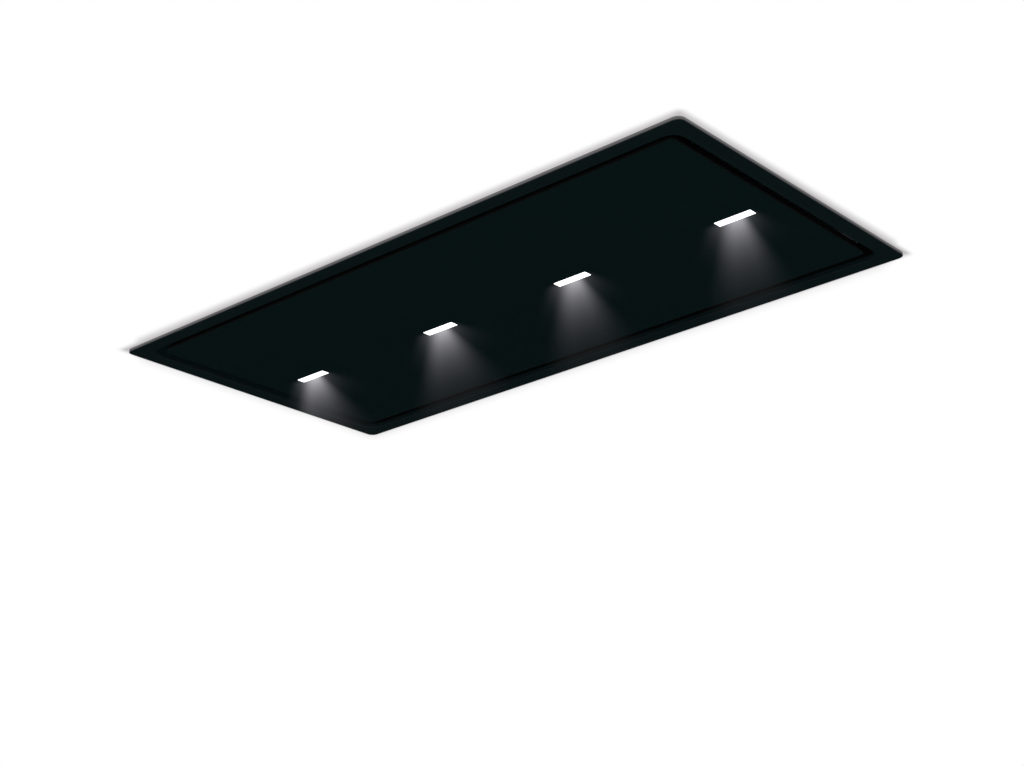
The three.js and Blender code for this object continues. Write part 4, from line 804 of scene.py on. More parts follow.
@dataclass
class CadDresser:
    """Gives every carried-over node its finish, soft edges and smooth round faces."""

    soft_edge: float = 0.25 * MM
    soft_angle: float = math.radians(50)
    smooth_angle: float = math.radians(32)
    join_reach: float = 0.002 * MM
    sharp_nodes: tuple[str, ...] = ("panel_glass", "light_lens_", "cassette", "scroll_housing", "impeller")

    def dress(self, record: dict[str, Any], nodes: dict[str, bpy.types.Object]) -> None:
        """Dresses all nodes.

        Args:
            record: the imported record, which names each node's slot.
            nodes: the frame's objects by node name.
        """
        special = Finishes.partly_black()
        for part in record["subparts"]:
            node = nodes[part["node"]]
            material = special.get(node.name, Finishes.of_slot(part["material_slot"])).material()
            if not node.material_slots:
                node.data.materials.append(material)
            for holder in node.material_slots:
                holder.material = material
            self.soften(node)
            LOG.info("dressed %s in %s", node.name, part["material_slot"])

    def soften(self, node: bpy.types.Object) -> None:
        """Joins the loose triangles, breaks the edges and smooths the round faces.

        Args:
            node: the carried-over object.
        """
        for face in node.data.polygons:
            face.use_smooth = True
        weld = node.modifiers.new("join", "WELD")
        weld.merge_threshold = self.join_reach
        if not node.name.startswith(self.sharp_nodes):
            bevel = node.modifiers.new("soft_edges", "BEVEL")
            bevel.width = self.soft_edge
            bevel.segments = 1
            bevel.limit_method = "ANGLE"
            bevel.angle_limit = self.soft_angle
            bevel.use_clamp_overlap = True
        split = node.modifiers.new("sharp_edges", "EDGE_SPLIT")
        split.split_angle = self.smooth_angle


# ---------------------------------------------------------------- fittings

def grown(name: str, body: str, slot: str, tree: bpy.types.NodeTree, inputs: dict[str, Any],
          start: bpy.types.Mesh) -> bpy.types.Object:
    """Runs a geometry node tree on a mesh and keeps the result as one plain piece.

    Args:
        name: the piece's name.
        body: the body that it rides.
        slot: its finish in the record; not used.
        tree: the node tree.
        inputs: the tree's inputs by their names.
        start: the mesh that the tree begins with.

    Returns:
        The piece.
    """
    holder = bpy.data.objects.new(name + "_start", start)
    bpy.context.scene.collection.objects.link(holder)
    run = holder.modifiers.new("grow", "NODES")
    run.node_group = tree
    ids = {item.name: item.identifier for item in tree.interface.items_tree
           if item.item_type == "SOCKET" and item.in_out == "INPUT"}
    for label, item in inputs.items():
        run[ids[label]] = item
    mesh = bpy.data.meshes.new_from_object(holder.evaluated_get(bpy.context.evaluated_depsgraph_get()))
    mesh.name = name
    holder.modifiers.remove(run)
    bpy.data.objects.remove(holder)
    piece = bpy.data.objects.new(name, mesh)
    bpy.context.scene.collection.objects.link(piece)
    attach(piece, body)
    LOG.info("%s: %d faces", name, len(mesh.polygons))
    return piece


TreeStart = tuple[bpy.types.NodeTree, NodeBook, Callable[[str], Value]]


def new_tree(name: str, inputs: dict[str, str]) -> TreeStart:
    """Starts a geometry node tree.

    Args:
        name: the tree's name.
        inputs: its named inputs and their socket types, after the geometry.

    Returns:
        The tree, its book, and a function that gives a named input.
    """
    tree = bpy.data.node_groups.new(name, "GeometryNodeTree")
    tree.interface.new_socket("Geometry", in_out="INPUT", socket_type="NodeSocketGeometry")
    for label, kind in inputs.items():
        tree.interface.new_socket(label, in_out="INPUT", socket_type=kind)
    tree.interface.new_socket("Geometry", in_out="OUTPUT", socket_type="NodeSocketGeometry")
    book = NodeBook(tree)
    given = book.add("NodeGroupInput")
    return tree, book, lambda label: Value(book, given.outputs[label])


def finish_tree(book: NodeBook, instances: Value, finish: Finish, move: Value | None = None) -> None:
    """Ends a tree: makes the instances real, moves them if asked, and gives them their finish.

    Args:
        book: the tree's book.
        instances: what the tree has made.
        finish: the finish that it gets.
        move: how far the whole is moved.
    """
    shape = book.value("GeometryNodeRealizeInstances", None, {"Geometry": instances})
    if move:
        shape = book.value("GeometryNodeTransform", None, {"Geometry": shape, "Translation": move})
    dressed = book.value("GeometryNodeSetMaterial", None,
                         {"Geometry": shape, "Material": finish.material()})
    book.add("NodeGroupOutput", None, {0: dressed})


@dataclass(frozen=True)
class Fixing:
    """A small fixing that is set on many spots at once.

    Each step carries the head's top on: how far it rises, in parts of the height, and how wide
    it is after that, in parts of its width. A negative rise sinks a recess. The washer is as
    wide as that many heads, and there is none at 0.
    """

    kind: str
    slot: str
    sides: int
    radius: float
    height: float
    steps: tuple[tuple[float, float], ...]
    washer: float = 0.0
    washer_sides: int = 20
    washer_height: float = 0.3

    def tree(self) -> bpy.types.NodeTree:
        """The node tree that makes the head and sets it on every point.

        Returns:
            The tree, made the first time it is asked for.
        """
        known = bpy.data.node_groups.get(self.kind)
        if known:
            return known
        made, book, given = new_tree(self.kind, {"Radius": "NodeSocketFloat", "Height": "NodeSocketFloat",
                                                 "Seed": "NodeSocketInt"})
        head = self.head(book, given("Radius"), given("Height"))
        facing = book.value("GeometryNodeInputNamedAttribute", {"data_type": "FLOAT_VECTOR"},
                            {"Name": "facing"})
        turned = book.value("FunctionNodeAlignRotationToVector", {"axis": "Z"}, {"Vector": facing})
        placed = book.value("GeometryNodeInstanceOnPoints", None,
                            {"Points": given("Geometry"), "Instance": head, "Rotation": turned})
        chance = book.value("FunctionNodeRandomValue", {"data_type": "FLOAT"},
                            {"Min_001": 0.0, "Max_001": math.tau, "Seed": given("Seed")}, 1)
        spin = book.value("ShaderNodeCombineXYZ", None, {Z: chance})
        spun = book.value("GeometryNodeRotateInstances", None, {"Instances": placed, "Rotation": spin})
        finish_tree(book, spun, Finishes.of_slot(self.slot))
        return made

    def head(self, book: NodeBook, radius: Value, height: Value) -> Value:
        """One head that stands on the origin, with its washer if it has one.

        Args:
            book: the tree's book.
            radius: the head's radius.
            height: how high its sides are.

        Returns:
            The head's shape.
        """
        shank = book.add("GeometryNodeMeshCylinder", {"fill_type": "NGON"},
                         {"Vertices": self.sides, "Radius": radius, "Depth": height})
        solid, top = shank.outputs["Mesh"], shank.outputs["Top"]
        for rise, width in self.steps:
            risen = book.add("GeometryNodeExtrudeMesh", None,
                             {"Mesh": solid, "Selection": top, "Offset Scale": height * rise,
                              "Individual": False})
            top = risen.outputs["Top"]
            sized = book.add("GeometryNodeScaleElements", None,
                             {"Geometry": risen.outputs["Mesh"], "Selection": top, "Scale": width})
            solid = sized.outputs["Geometry"]
        lift = book.value("ShaderNodeCombineXYZ", None, {Z: height * 0.5})
        head = book.value("GeometryNodeTransform", None, {"Geometry": solid, "Translation": lift})
        if not self.washer:
            return head
        ring = book.value("GeometryNodeMeshCylinder", {"fill_type": "NGON"},
                          {"Vertices": self.washer_sides, "Radius": radius * self.washer,
                           "Depth": height * self.washer_height})
        joined = book.add("GeometryNodeJoinGeometry", None, {0: head})
        book.feed(joined.inputs[0], ring)
        return Value(book, joined.outputs[0])

    def fit(self, name: str, body: str, spots: Iterable[Spot]) -> bpy.types.Object:
        """Sets one on each spot.

        Args:
            name: the piece's name.
            body: the body that it rides.
            spots: where each fixing stands and which way it faces.

        Returns:
            All of them as one piece.
        """
        places, facings = zip(*spots)
        start = bpy.data.meshes.new(name + "_start")
        start.from_pydata([tuple(place) for place in places], [], [])
        facing = start.attributes.new("facing", "FLOAT_VECTOR", "POINT")
        facing.data.foreach_set("vector", [part for way in facings for part in way])
        return grown(name, body, self.slot, self.tree(),
                     {"Radius": self.radius, "Height": self.height, "Seed": len(places)}, start)


class Fixings(Enum):
    """The kinds of small fixing."""

    PAN_SCREW = Fixing("pan_screw", "steel", 12, 3.6 * MM, 1.1 * MM,
                       ((0.45, 0.86), (0.35, 0.72), (0.0, 0.5), (-0.9, 1.0)))
    SMALL_SCREW = Fixing("small_screw", "steel", 12, 2.4 * MM, 0.8 * MM,
                         ((0.5, 0.8), (0.0, 0.5), (-0.8, 1.0)))
    HEX_BOLT = Fixing("hex_bolt", "steel", 6, 6.6 * MM, 3.6 * MM,
                      ((0.12, 0.9), (0.0, 0.5), (-0.1, 1.0)), 1.35)
    RIVET = Fixing("rivet", "aluminium", 12, 2.6 * MM, 0.5 * MM,
                   ((0.7, 0.82), (0.4, 0.5), (0.0, 0.6), (-0.5, 1.0)))
    SPOT_WELD = Fixing("spot_weld", "zinc", 14, 3.0 * MM, 0.12 * MM,
                       ((0.6, 0.82), (0.0, 0.8), (-1.0, 0.9)))

    def fit(self, name: str, body: str, spots: Iterable[Spot]) -> bpy.types.Object:
        """Sets one fixing of this kind on each spot, as one piece."""
        return self.value.fit(name, body, spots)


def row(first: Sequence[float], last: Sequence[float], pitch: float, facing: Sequence[float]) -> list[Spot]:
    """Even spots from first to last that all face one way.

    Args:
        first: where the row starts.
        last: where it ends.
        pitch: about how far the spots are apart.
        facing: the way that they face.

    Returns:
        The spots.
    """
    start, end = Vector(first), Vector(last)
    gaps = max(1, round((end - start).length / pitch))
    return [(start.lerp(end, i / gaps), facing) for i in range(gaps + 1)]


def border(half: Span, z: float, pitch: float) -> list[Spot]:
    """Spots that face up, along the four sides of a rectangle round the middle.

    Args:
        half: half the rectangle's length and width.
        z: its level.
        pitch: about how far the spots are apart.

    Returns:
        The spots.
    """
    half_x, half_y = half
    step_y = 2 * half_y / max(1, round(2 * half_y / pitch))
    spots = []
    for sign in (-1, 1):
        spots += row((-half_x, sign * half_y, z), (half_x, sign * half_y, z), pitch, UP)
        spots += row((sign * half_x, -half_y + step_y, z), (sign * half_x, half_y - step_y, z), pitch, UP)
    return spots


def mirrored(spots: Iterable[Spot]) -> list[Spot]:
    """The spots and their copies with Y the other way."""
    spots = list(spots)
    return spots + [((p[X], -p[Y], p[Z]), (f[X], -f[Y], f[Z])) for p, f in spots]


def rivet_columns(x: float, y: float, levels: Span, pitch: float) -> list[Spot]:
    """Four upright rows on the long walls, near their ends.

    Args:
        x: how far the rows are from the middle along X.
        y: where the walls' outer faces are.
        levels: where the rows start and end.
        pitch: about how far the spots are apart.

    Returns:
        The spots, which face away from the walls.
    """
    spots = []
    for sign in (-1, 1):
        spots += mirrored(row((sign * x, y, levels[0]), (sign * x, y, levels[1]), pitch, ALONG_Y))
    return spots


@dataclass
class CeilingFrame:
    """The cassette's sheet metal: seams of its roof and walls."""

    sheet: float = 1.0 * MM
    seam_in: float = 4.5 * MM
    weld_pitch: float = 58 * MM
    rivet_in: float = 12 * MM
    rivet_levels: Span = (16 * MM, 84 * MM)
    rivet_pitch: float = 22 * MM

    def build(self) -> None:
        """Spot welds along the roof's seam, and rivets up the walls' corners."""
        low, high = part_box("cassette_roof")
        seam = border(half_of("cassette_roof", self.seam_in), low[Z] + self.sheet, self.weld_pitch)
        Fixings.SPOT_WELD.fit("roof_seam_welds", "housing", seam)
        rivets = rivet_columns(high[X] - self.rivet_in, high[Y], self.rivet_levels, self.rivet_pitch)
        Fixings.RIVET.fit("wall_corner_rivets", "housing", rivets)


@dataclass
class BlowerBox:
    """The blower's box on the roof and its lid."""

    sheet: float = 1.0 * MM
    flange: float = 12 * MM
    flange_in: float = 6 * MM
    flange_pitch: float = 76 * MM
    skirt_up: float = 6 * MM
    skirt_end: float = 20 * MM
    skirt_pitches: Span = (80 * MM, 85 * MM)
    skirt_sink: float = 0.05 * MM
    seam_in: float = 10 * MM
    seam_levels: Span = (112 * MM, 258 * MM)
    seam_pitch: float = 24 * MM

    def build(self) -> None:
        """Flange screws, lid screws and the rivets of the box's corner seams."""
        low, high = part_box("blower_box")
        flange = border(half_of("blower_box", self.flange_in), low[Z] + self.sheet, self.flange_pitch)
        Fixings.PAN_SCREW.fit("box_flange_screws", "housing", flange)
        Fixings.SMALL_SCREW.fit("lid_skirt_screws", "housing", self.skirt_spots())
        wall_x, wall_y = high[X] - self.flange, high[Y] - self.flange
        seam = rivet_columns(wall_x - self.seam_in, wall_y, self.seam_levels, self.seam_pitch)
        Fixings.RIVET.fit("box_seam_rivets", "housing", seam)

    def skirt_spots(self) -> list[Spot]:
        """Where the lid's screws stand on its skirt.

        Returns:
            The spots, a little below the skirt's face.
        """
        low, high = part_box("blower_box_lid")
        level = low[Z] + self.skirt_up
        end, (short_pitch, long_pitch) = self.skirt_end, self.skirt_pitches
        spots = []
        for sign in (-1.0, 1.0):
            x, y = sign * high[X], sign * high[Y]
            spots += row((x, low[Y] + end, level), (x, high[Y] - end, level), short_pitch, (sign, 0.0, 0.0))
            spots += row((low[X] + end, y, level), (high[X] - end, y, level), long_pitch, (0.0, sign, 0.0))
        return [(place - Vector(facing) * self.skirt_sink, facing) for place, facing in spots]


@dataclass
class DuctOutlet:
    """The round outlet's flange on the blower box."""

    flange_sheet: float = 1.2 * MM
    ring_in: float = 4 * MM
    rivets: int = 12

    def build(self) -> None:
        """A ring of rivets that hold the collar's flange."""
        low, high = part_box("outlet_collar")
        y, z = (low[Y] + high[Y]) / 2, (low[Z] + high[Z]) / 2
        ring = (high[Z] - low[Z]) / 2 - self.ring_in
        spots = []
        for i in range(self.rivets):
            turn = math.tau * (i + 0.5) / self.rivets
            place = (low[X] + self.flange_sheet, y + ring * math.cos(turn), z + ring * math.sin(turn))
            spots.append((place, (1.0, 0.0, 0.0)))
        Fixings.RIVET.fit("collar_flange_rivets", "housing", spots)


@dataclass
class Electrics:
    """The control box's cover and the light driver."""

    screw_in: float = 7 * MM
    ear_thick: float = 3 * MM

    def build(self) -> None:
        """Cover screws at the four corners and two screws through the driver's ears."""
        low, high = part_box("control_cover")
        corners = [((x, y, high[Z]), UP) for x in (low[X] + self.screw_in, high[X] - self.screw_in)
                   for y in (low[Y] + self.screw_in, high[Y] - self.screw_in)]
        Fixings.SMALL_SCREW.fit("cover_screws", "housing", corners)
        low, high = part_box("light_driver")
        ears = [((x, (low[Y] + high[Y]) / 2, low[Z] + self.ear_thick), UP)
                for x in (low[X] + self.screw_in, high[X] - self.screw_in)]
        Fixings.PAN_SCREW.fit("driver_screws", "housing", ears)


@dataclass
class Hangers:
    """The four hangers' bolts."""

    count: int = 4
    sheet: float = 2 * MM
    slide_gap: float = 0.3 * MM
    foot_in: float = 16.4 * MM
    clamp_down: float = 25 * MM
    anchor_in: float = 16 * MM

    def build(self) -> None:
        """Foot bolts and clamp bolts on the housing, and ceiling anchors on the sliders."""
        low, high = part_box(f"hanger_base_{self.count}")
        slider_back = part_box(f"hanger_slider_{self.count}")[1][Y]
        x = (low[X] + high[X]) / 2
        foot = (high[Y] - self.foot_in, low[Z] + self.sheet)
        clamp = (slider_back + self.slide_gap + self.sheet, high[Z] - self.clamp_down)
        spots = []
        for sign in (-1, 1):
            spots += mirrored([((sign * x, *foot), UP), ((sign * x, *clamp), ALONG_Y)])
        Fixings.HEX_BOLT.fit("hanger_bolts", "housing", spots)
        for number in range(1, self.count + 1):
            low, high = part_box(f"hanger_slider_{number}")
            y = low[Y] + self.anchor_in if low[Y] > 0 else high[Y] - self.anchor_in
            Fixings.HEX_BOLT.fit(f"ceiling_bolt_{number}", f"slider_{number}",
                                 [(((low[X] + high[X]) / 2, y, high[Z] - self.sheet), DOWN)])


@dataclass
class HingedPanel:
    """The panel's tray and its hinge leaves."""

    sheet: float = 1.0 * MM
    weld_in: float = 12 * MM
    weld_pitch: float = 62 * MM
    leaf_thick: float = 2.2 * MM
    leaf_end: float = 8 * MM
    leaf_side: float = 9 * MM

    def build(self) -> None:
        """Welds along the tray's sides and the rivets of the hinge leaves."""
        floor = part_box("panel_tray")[0][Z] + self.sheet
        welds = border(half_of("panel_tray", self.weld_in), floor, self.weld_pitch)
        Fixings.SPOT_WELD.fit("tray_welds", "panel", welds)
        spots = []
        for number in (1, 2):
            low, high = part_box(f"hinge_leaf_{number}")
            y, z = low[Y] + self.leaf_side, low[Z] + self.leaf_thick
            first, last = low[X] + self.leaf_end, high[X] - self.leaf_end
            spots += row((first, y, z), (last, y, z), (last - first) / 2, UP)
        Fixings.RIVET.fit("hinge_leaf_rivets", "panel", spots)


@dataclass
class FilterBay:
    """The woven layers behind the filters' baffles."""

    filters: int = 3
    pitch: float = 7 * MM
    wire: float = 0.45 * MM
    wire_sides: int = 3
    layer_down: float = 5.1 * MM
    latch_room: float = 23.5 * MM
    back_room: float = 22 * MM
    margin: float = 16 * MM

    def tree(self) -> bpy.types.NodeTree:
        """Zigzag wires side by side, each row a half step on, so that they make diamonds.

        Returns:
            The node tree.
        """
        tree, book, given = new_tree("expanded_layer", {
            "Steps": "NodeSocketInt", "Rows": "NodeSocketInt", "Pitch": "NodeSocketFloat",
            "Wire": "NodeSocketFloat", "Corner": "NodeSocketVector"})
        pitch = given("Pitch")
        along = book.value("ShaderNodeCombineXYZ", None, {X: pitch})
        line = book.value("GeometryNodeMeshLine", {"mode": "OFFSET"},
                          {"Count": given("Steps"), "Offset": along})
        odd = book.value("ShaderNodeMath", {"operation": "MODULO"},
                         {0: book.value("GeometryNodeInputIndex"), 1: 2.0})
        swing = book.value("ShaderNodeCombineXYZ", None, {Y: pitch * 0.5 * odd})
        bent = book.value("GeometryNodeSetPosition", None, {"Geometry": line, "Offset": swing})
        curve = book.value("GeometryNodeMeshToCurve", None, {"Mesh": bent})
        round_wire = book.value("GeometryNodeCurvePrimitiveCircle", {"mode": "RADIUS"},
                                {"Resolution": self.wire_sides, "Radius": given("Wire")})
        wire = book.value("GeometryNodeCurveToMesh", None, {"Curve": curve, "Profile Curve": round_wire})
        up = book.value("ShaderNodeCombineXYZ", None, {Y: pitch * 0.5})
        posts = book.value("GeometryNodeMeshLine", {"mode": "OFFSET"},
                           {"Count": given("Rows"), "Offset": up})
        shift = book.value("ShaderNodeCombineXYZ", None, {X: pitch * odd})
        moved = book.value("GeometryNodeSetPosition", None, {"Geometry": posts, "Offset": shift})
        rows = book.value("GeometryNodeInstanceOnPoints", None, {"Points": moved, "Instance": wire})
        finish_tree(book, rows, Finishes.ALUMINIUM.value, given("Corner"))
        return tree

    def build(self) -> None:
        """One layer in each of the filters, clear of their latches."""
        tree = self.tree()
        for number in range(1, self.filters + 1):
            low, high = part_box(f"grease_filter_{number}")
            front, back = low[Y] + self.latch_room, high[Y] - self.back_room
            steps = int((high[X] - low[X] - 2 * self.margin) / self.pitch)
            rows = int((back - front) / (self.pitch / 2))
            corner = (low[X] + self.margin, front, high[Z] - self.layer_down)
            grown(f"filter_layer_{number}", "housing", "aluminium", tree,
                  {"Steps": steps, "Rows": rows, "Pitch": self.pitch, "Wire": self.wire, "Corner": corner},
                  bpy.data.meshes.new("empty_start"))


# ---------------------------------------------------------------- ceiling, floor, light, camera

@dataclass(frozen=True)
class CeilingShade:
    """The white ceiling with the soft shade close round the frame.

    The near sides are the right one at +X and the front one at -Y, where the frame's edge shows.
    At the far sides, left and back, the frame hides the ceiling's first millimetres. A near
    side's width is that of the shade at the side's middle and how it grows along the side. The
    strengths are how deep the shade is at the far sides and what the near sides add to it. Touch
    is the reach of the darker line where the two meet. Bounce is how bright the ceiling is for
    the hood, and what it adds for the camera.
    """

    dark: RGB = (0.53, 0.512, 0.52)
    right_width: Span = (0.0197, 0.008)
    front_width: Span = (0.0256, -0.0085)
    far_width: float = 0.045
    far_curve: float = 1.5
    corner: float = 0.06
    near_least: float = 0.6
    far_least: float = 0.4
    far_weight: float = 3.0
    smallest: float = 0.1 * MM
    strengths: Span = (0.53, 0.385)
    touch: float = 4 * MM
    touch_share: float = 0.5
    front_fade: Span = (0.3, 0.6)
    right_fade: Span = (0.2, 0.3)
    far_touch: float = 0.8
    hidden: float = 11 * MM
    bounce: Span = (0.45, 0.55)

    def reach(self, past: Value, from_corner: Value, least: float, width: Any) -> Value:
        """How far out in the shade a place lies, 1 where the shade ends.

        Args:
            past: how far the place is from the frame.
            from_corner: how far along the frame it is from the corner where the shade thins out.
            least: the shade's width at that corner, in parts of its full width.
            width: the full width.

        Returns:
            The share of the width.
        """
        return past / (from_corner / self.corner).at_least(least).at_most(1.0) / width

    def contact(self, distance: Value) -> Value:
        """The darker line close to the frame: 1 where they meet and 0 from touch on."""
        return (1.0 - distance / self.touch).at_least(0.0)

    def strength(self, x: Value, y: Value) -> Value:
        """How dark the ceiling is.

        Args:
            x: the place along X.
            y: the place along Y.

        Returns:
            The shade's strength, from 0 to 1.
        """
        half_x, half_y = half_of("rim_frame")
        right, left = (x - half_x).at_least(0.0), (x * -1.0 - half_x).at_least(0.0)
        back, front = (y - half_y).at_least(0.0), (y * -1.0 - half_y).at_least(0.0)
        near, far = right + front, left + back
        right_width = y * self.right_width[1] + self.right_width[0]
        front_width = x * self.front_width[1] + self.front_width[0]
        out_right = self.reach(right, half_y - y, self.near_least, right_width)
        out_front = self.reach(front, x + half_x, self.near_least, front_width)
        out_left = self.reach(left, y + half_y, self.far_least, self.far_width)
        out_back = self.reach(back, half_x - x, self.far_least, self.far_width)
        near_shade = out_right.diagonal(out_front).ramp(0.0, 1.0, 1.0, 0.0)
        far_shade = (1.0 - out_left.diagonal(out_back).at_most(1.0)) ** self.far_curve
        near_share = near / (near + far * self.far_weight + self.smallest)
        by_front = self.contact(front) * ((self.front_fade[0] - x) / self.front_fade[1]).unit()
        by_right = self.contact(right) * ((y + self.right_fade[0]) / self.right_fade[1]).unit()
        by_far = self.contact((far - self.hidden).at_least(0.0)) * self.far_touch
        on_front, on_right = (front / MM).at_most(1.0), (right / MM).at_most(1.0)
        by_near = (by_front * on_front + by_right * on_right) * self.contact(far)
        touches = (by_near + by_far * (1.0 - near_share)) * self.touch_share
        depth = self.strengths[0] + self.strengths[1] * near_share
        return (near_shade * far_shade * (depth + touches)).at_most(1.0)

    def material(self) -> bpy.types.Material:
        """The ceiling's material: white to the camera, and dimmer where it lights the hood.

        Returns:
            The material.
        """
        made, book = new_material("ceiling_white")
        colour = book.mix(self.strength(book.along(X), book.along(Y)), WHITE, self.dark)
        seen = book.value("ShaderNodeLightPath", output="Is Camera Ray")
        level = self.bounce[0] + self.bounce[1] * seen
        light = book.add("ShaderNodeEmission", None, {"Color": colour, "Strength": level})
        book.add("ShaderNodeOutputMaterial", None, {"Surface": light.outputs[0]})
        return made


@dataclass(frozen=True)
class SoftBox:
    """A square light that points at the hood and that the camera doesn't see."""

    name: str
    place: Triple
    side: float
    power: float
    aim: Triple = (0.0, 0.0, 0.08)

    def build(self) -> None:
        """Hangs the light."""
        data = bpy.data.lights.new(self.name, "AREA")
        data.shape = "SQUARE"
        data.size = self.side
        data.energy = self.power
        box = bpy.data.objects.new(self.name, data)
        box.location = self.place
        box.rotation_euler = (Vector(self.aim) - Vector(self.place)).to_track_quat("-Z", "Y").to_euler()
        box.visible_camera = False
        bpy.context.scene.collection.objects.link(box)


@dataclass(frozen=True)
class Camera:
    """The camera at the photograph's place, turn and lens."""

    sensor: float = 36.0
    lens: float = 63.434
    shift: Span = (-0.01941, -0.000466)
    clip: Span = (0.02, 100.0)
    place: Triple = (1.82269, -2.05807, -1.21955)
    right: Triple = (0.75609, 0.65410, -0.02189)
    up: Triple = (0.25437, -0.26288, 0.93069)
    back: Triple = (0.60301, -0.70925, -0.36515)

    def build(self) -> None:
        """Places the camera and makes it the scene's."""
        data = bpy.data.cameras.new("camera")
        data.sensor_fit = "HORIZONTAL"
        data.sensor_width = self.sensor
        data.lens = self.lens
        data.shift_x, data.shift_y = self.shift
        data.clip_start, data.clip_end = self.clip
        camera = bpy.data.objects.new("camera", data)
        columns = Matrix((self.right, self.up, self.back)).transposed()
        camera.matrix_world = Matrix.Translation(self.place) @ columns.to_4x4()
        bpy.context.scene.collection.objects.link(camera)
        bpy.context.scene.camera = camera
        bpy.context.scene.view_settings.view_transform = "Standard"


@dataclass
class Studio:
    """The ceiling that the hood hangs in, the pale floor, the light and the camera.

    A zone is where the sky's brightness changes, as the cosine of an angle, and the levels with
    the same name are how bright it is at the zone's two ends.
    """

    camera: Camera = Camera()
    shade: CeilingShade = CeilingShade()
    boxes: tuple[SoftBox, ...] = (SoftBox("soft_box_top", (0.9, -1.0, 2.3), 1.5, 52.0),
                                  SoftBox("soft_box_left", (-2.6, -1.4, 1.3), 1.6, 14.0),
                                  SoftBox("soft_box_back", (-0.6, 2.8, 1.5), 1.6, 16.0),
                                  SoftBox("soft_box_under", (1.4, -2.6, -2.0), 1.6, 20.0))
    reach: float = 16.0
    under_level: float = -0.05 * MM
    under_lap: float = 6 * MM
    top_level: float = 0.4 * MM
    top_lap: float = 10 * MM
    room_height: float = 2.4
    pale: RGB = (0.80, 0.80, 0.81)
    pale_roughness: float = 0.95
    pale_specular: float = 0.1
    grain: float = 40.0
    grain_shade: float = 0.98
    fade: Span = (1.1, 4.5)
    below_zone: Span = (0.60, 0.86)
    below_levels: Span = (0.5, 0.006)
    above_zone: Span = (0.0, 0.9)
    above_levels: Span = (0.30, 0.62)
    side_zone: Span = (-1.0, 1.0)
    side_levels: Span = (0.75, 1.2)
    horizon: float = 0.03

    def build(self) -> None:
        """Makes everything that isn't part of the hood, except the light beams."""
        self.build_ceiling()
        self.build_floor()
        self.build_world()
        for box in self.boxes:
            box.build()
        self.camera.build()
        LOG.info("studio ready")

    def plate(self, name: str, height: float, hole: Span | None) -> bpy.types.Object:
        """A large flat sheet, with a rectangular hole for the hood if hole is given.

        Args:
            name: the sheet's name.
            height: its level.
            hole: half the hole's length and width.

        Returns:
            The sheet, which belongs to the stage.
        """
        def corners(half_x: float, half_y: float) -> list[Span]:
            """The four corners of a rectangle round the middle, anticlockwise."""
            return [(-half_x, -half_y), (half_x, -half_y), (half_x, half_y), (-half_x, half_y)]

        points, faces = corners(self.reach, self.reach), [(0, 1, 2, 3)]
        if hole:
            points += corners(*hole)
            faces = [(i, (i + 1) % 4, 4 + (i + 1) % 4, 4 + i) for i in range(4)]
        mesh = bpy.data.meshes.new(name)
        mesh.from_pydata([(x, y, height) for x, y in points], [], faces)
        sheet = bpy.data.objects.new(name, mesh)
        bpy.context.scene.collection.objects.link(sheet)
        return sheet

    def build_ceiling(self) -> None:
        """The white ceiling below, and its pale top side that shows from above."""
        under = self.plate("ceiling_underside", self.under_level, half_of("rim_frame", self.under_lap))
        under.data.materials.append(self.shade.material())
        over = self.plate("ceiling_top", self.top_level, half_of("rim_frame", self.top_lap))
        over.data.materials.append(self.fading_material("ceiling_top"))

    def build_floor(self) -> None:
        """The pale floor of the room, which the black glass doesn't mirror."""
        floor = self.plate("floor", -self.room_height, None)
        floor.data.materials.append(self.fading_material("floor_pale"))
        floor.visible_glossy = False

    def fading_material(self, name: str) -> bpy.types.Material:
        """A pale matt sheet that fades into the white background far out.

        Args:
            name: the material's name.

        Returns:
            The material.
        """
        made, book = new_material(name)
        away = book.along(X).diagonal(book.along(Y))
        grain = book.noise(book.place(), self.grain)
        darker = tuple(c * self.grain_shade for c in self.pale)
        paint = book.add("ShaderNodeBsdfPrincipled", None,
                         {"Base Color": book.mix(grain, self.pale, darker),
                          "Roughness": self.pale_roughness, "Specular IOR Level": self.pale_specular})
        white = book.add("ShaderNodeEmission", None, {"Color": (*WHITE, 1.0), "Strength": 1.0})
        both = book.add("ShaderNodeMixShader", None,
                        {0: away.ramp(*self.fade), 1: paint.outputs[0], 2: white.outputs[0]})
        book.add("ShaderNodeOutputMaterial", None, {"Surface": both.outputs[0]})
        return made

    def build_world(self) -> None:
        """White to the camera, bright above, dim below where the glass mirrors it."""
        world = bpy.data.worlds.new("studio")
        bpy.context.scene.world = world
        world.use_nodes = True
        book = NodeBook(world.node_tree)
        way = book.value("ShaderNodeTexCoord", output="Generated")
        side = book.value("ShaderNodeSeparateXYZ", None, {0: way}, X)
        up = book.value("ShaderNodeSeparateXYZ", None, {0: way}, Z)
        back_x, back_y, back_z = self.camera.back
        towards = book.value("ShaderNodeVectorMath", {"operation": "DOT_PRODUCT"},
                             {0: way, 1: (-back_x, -back_y, back_z)}, "Value")
        below = towards.ramp(*self.below_zone, *self.below_levels)
        above = up.ramp(*self.above_zone, *self.above_levels) * side.ramp(*self.side_zone, *self.side_levels)
        level = below + (above - below) * up.ramp(-self.horizon, self.horizon)
        glow = book.add("ShaderNodeBackground", None, {"Color": (*WHITE, 1.0), "Strength": level})
        white = book.add("ShaderNodeBackground", None, {"Color": (*WHITE, 1.0), "Strength": 1.0})
        seen = book.value("ShaderNodeLightPath", output="Is Camera Ray")
        both = book.add("ShaderNodeMixShader", None, {0: seen, 1: glow.outputs[0], 2: white.outputs[0]})
        book.add("ShaderNodeOutputWorld", None, {"Surface": both.outputs[0]})


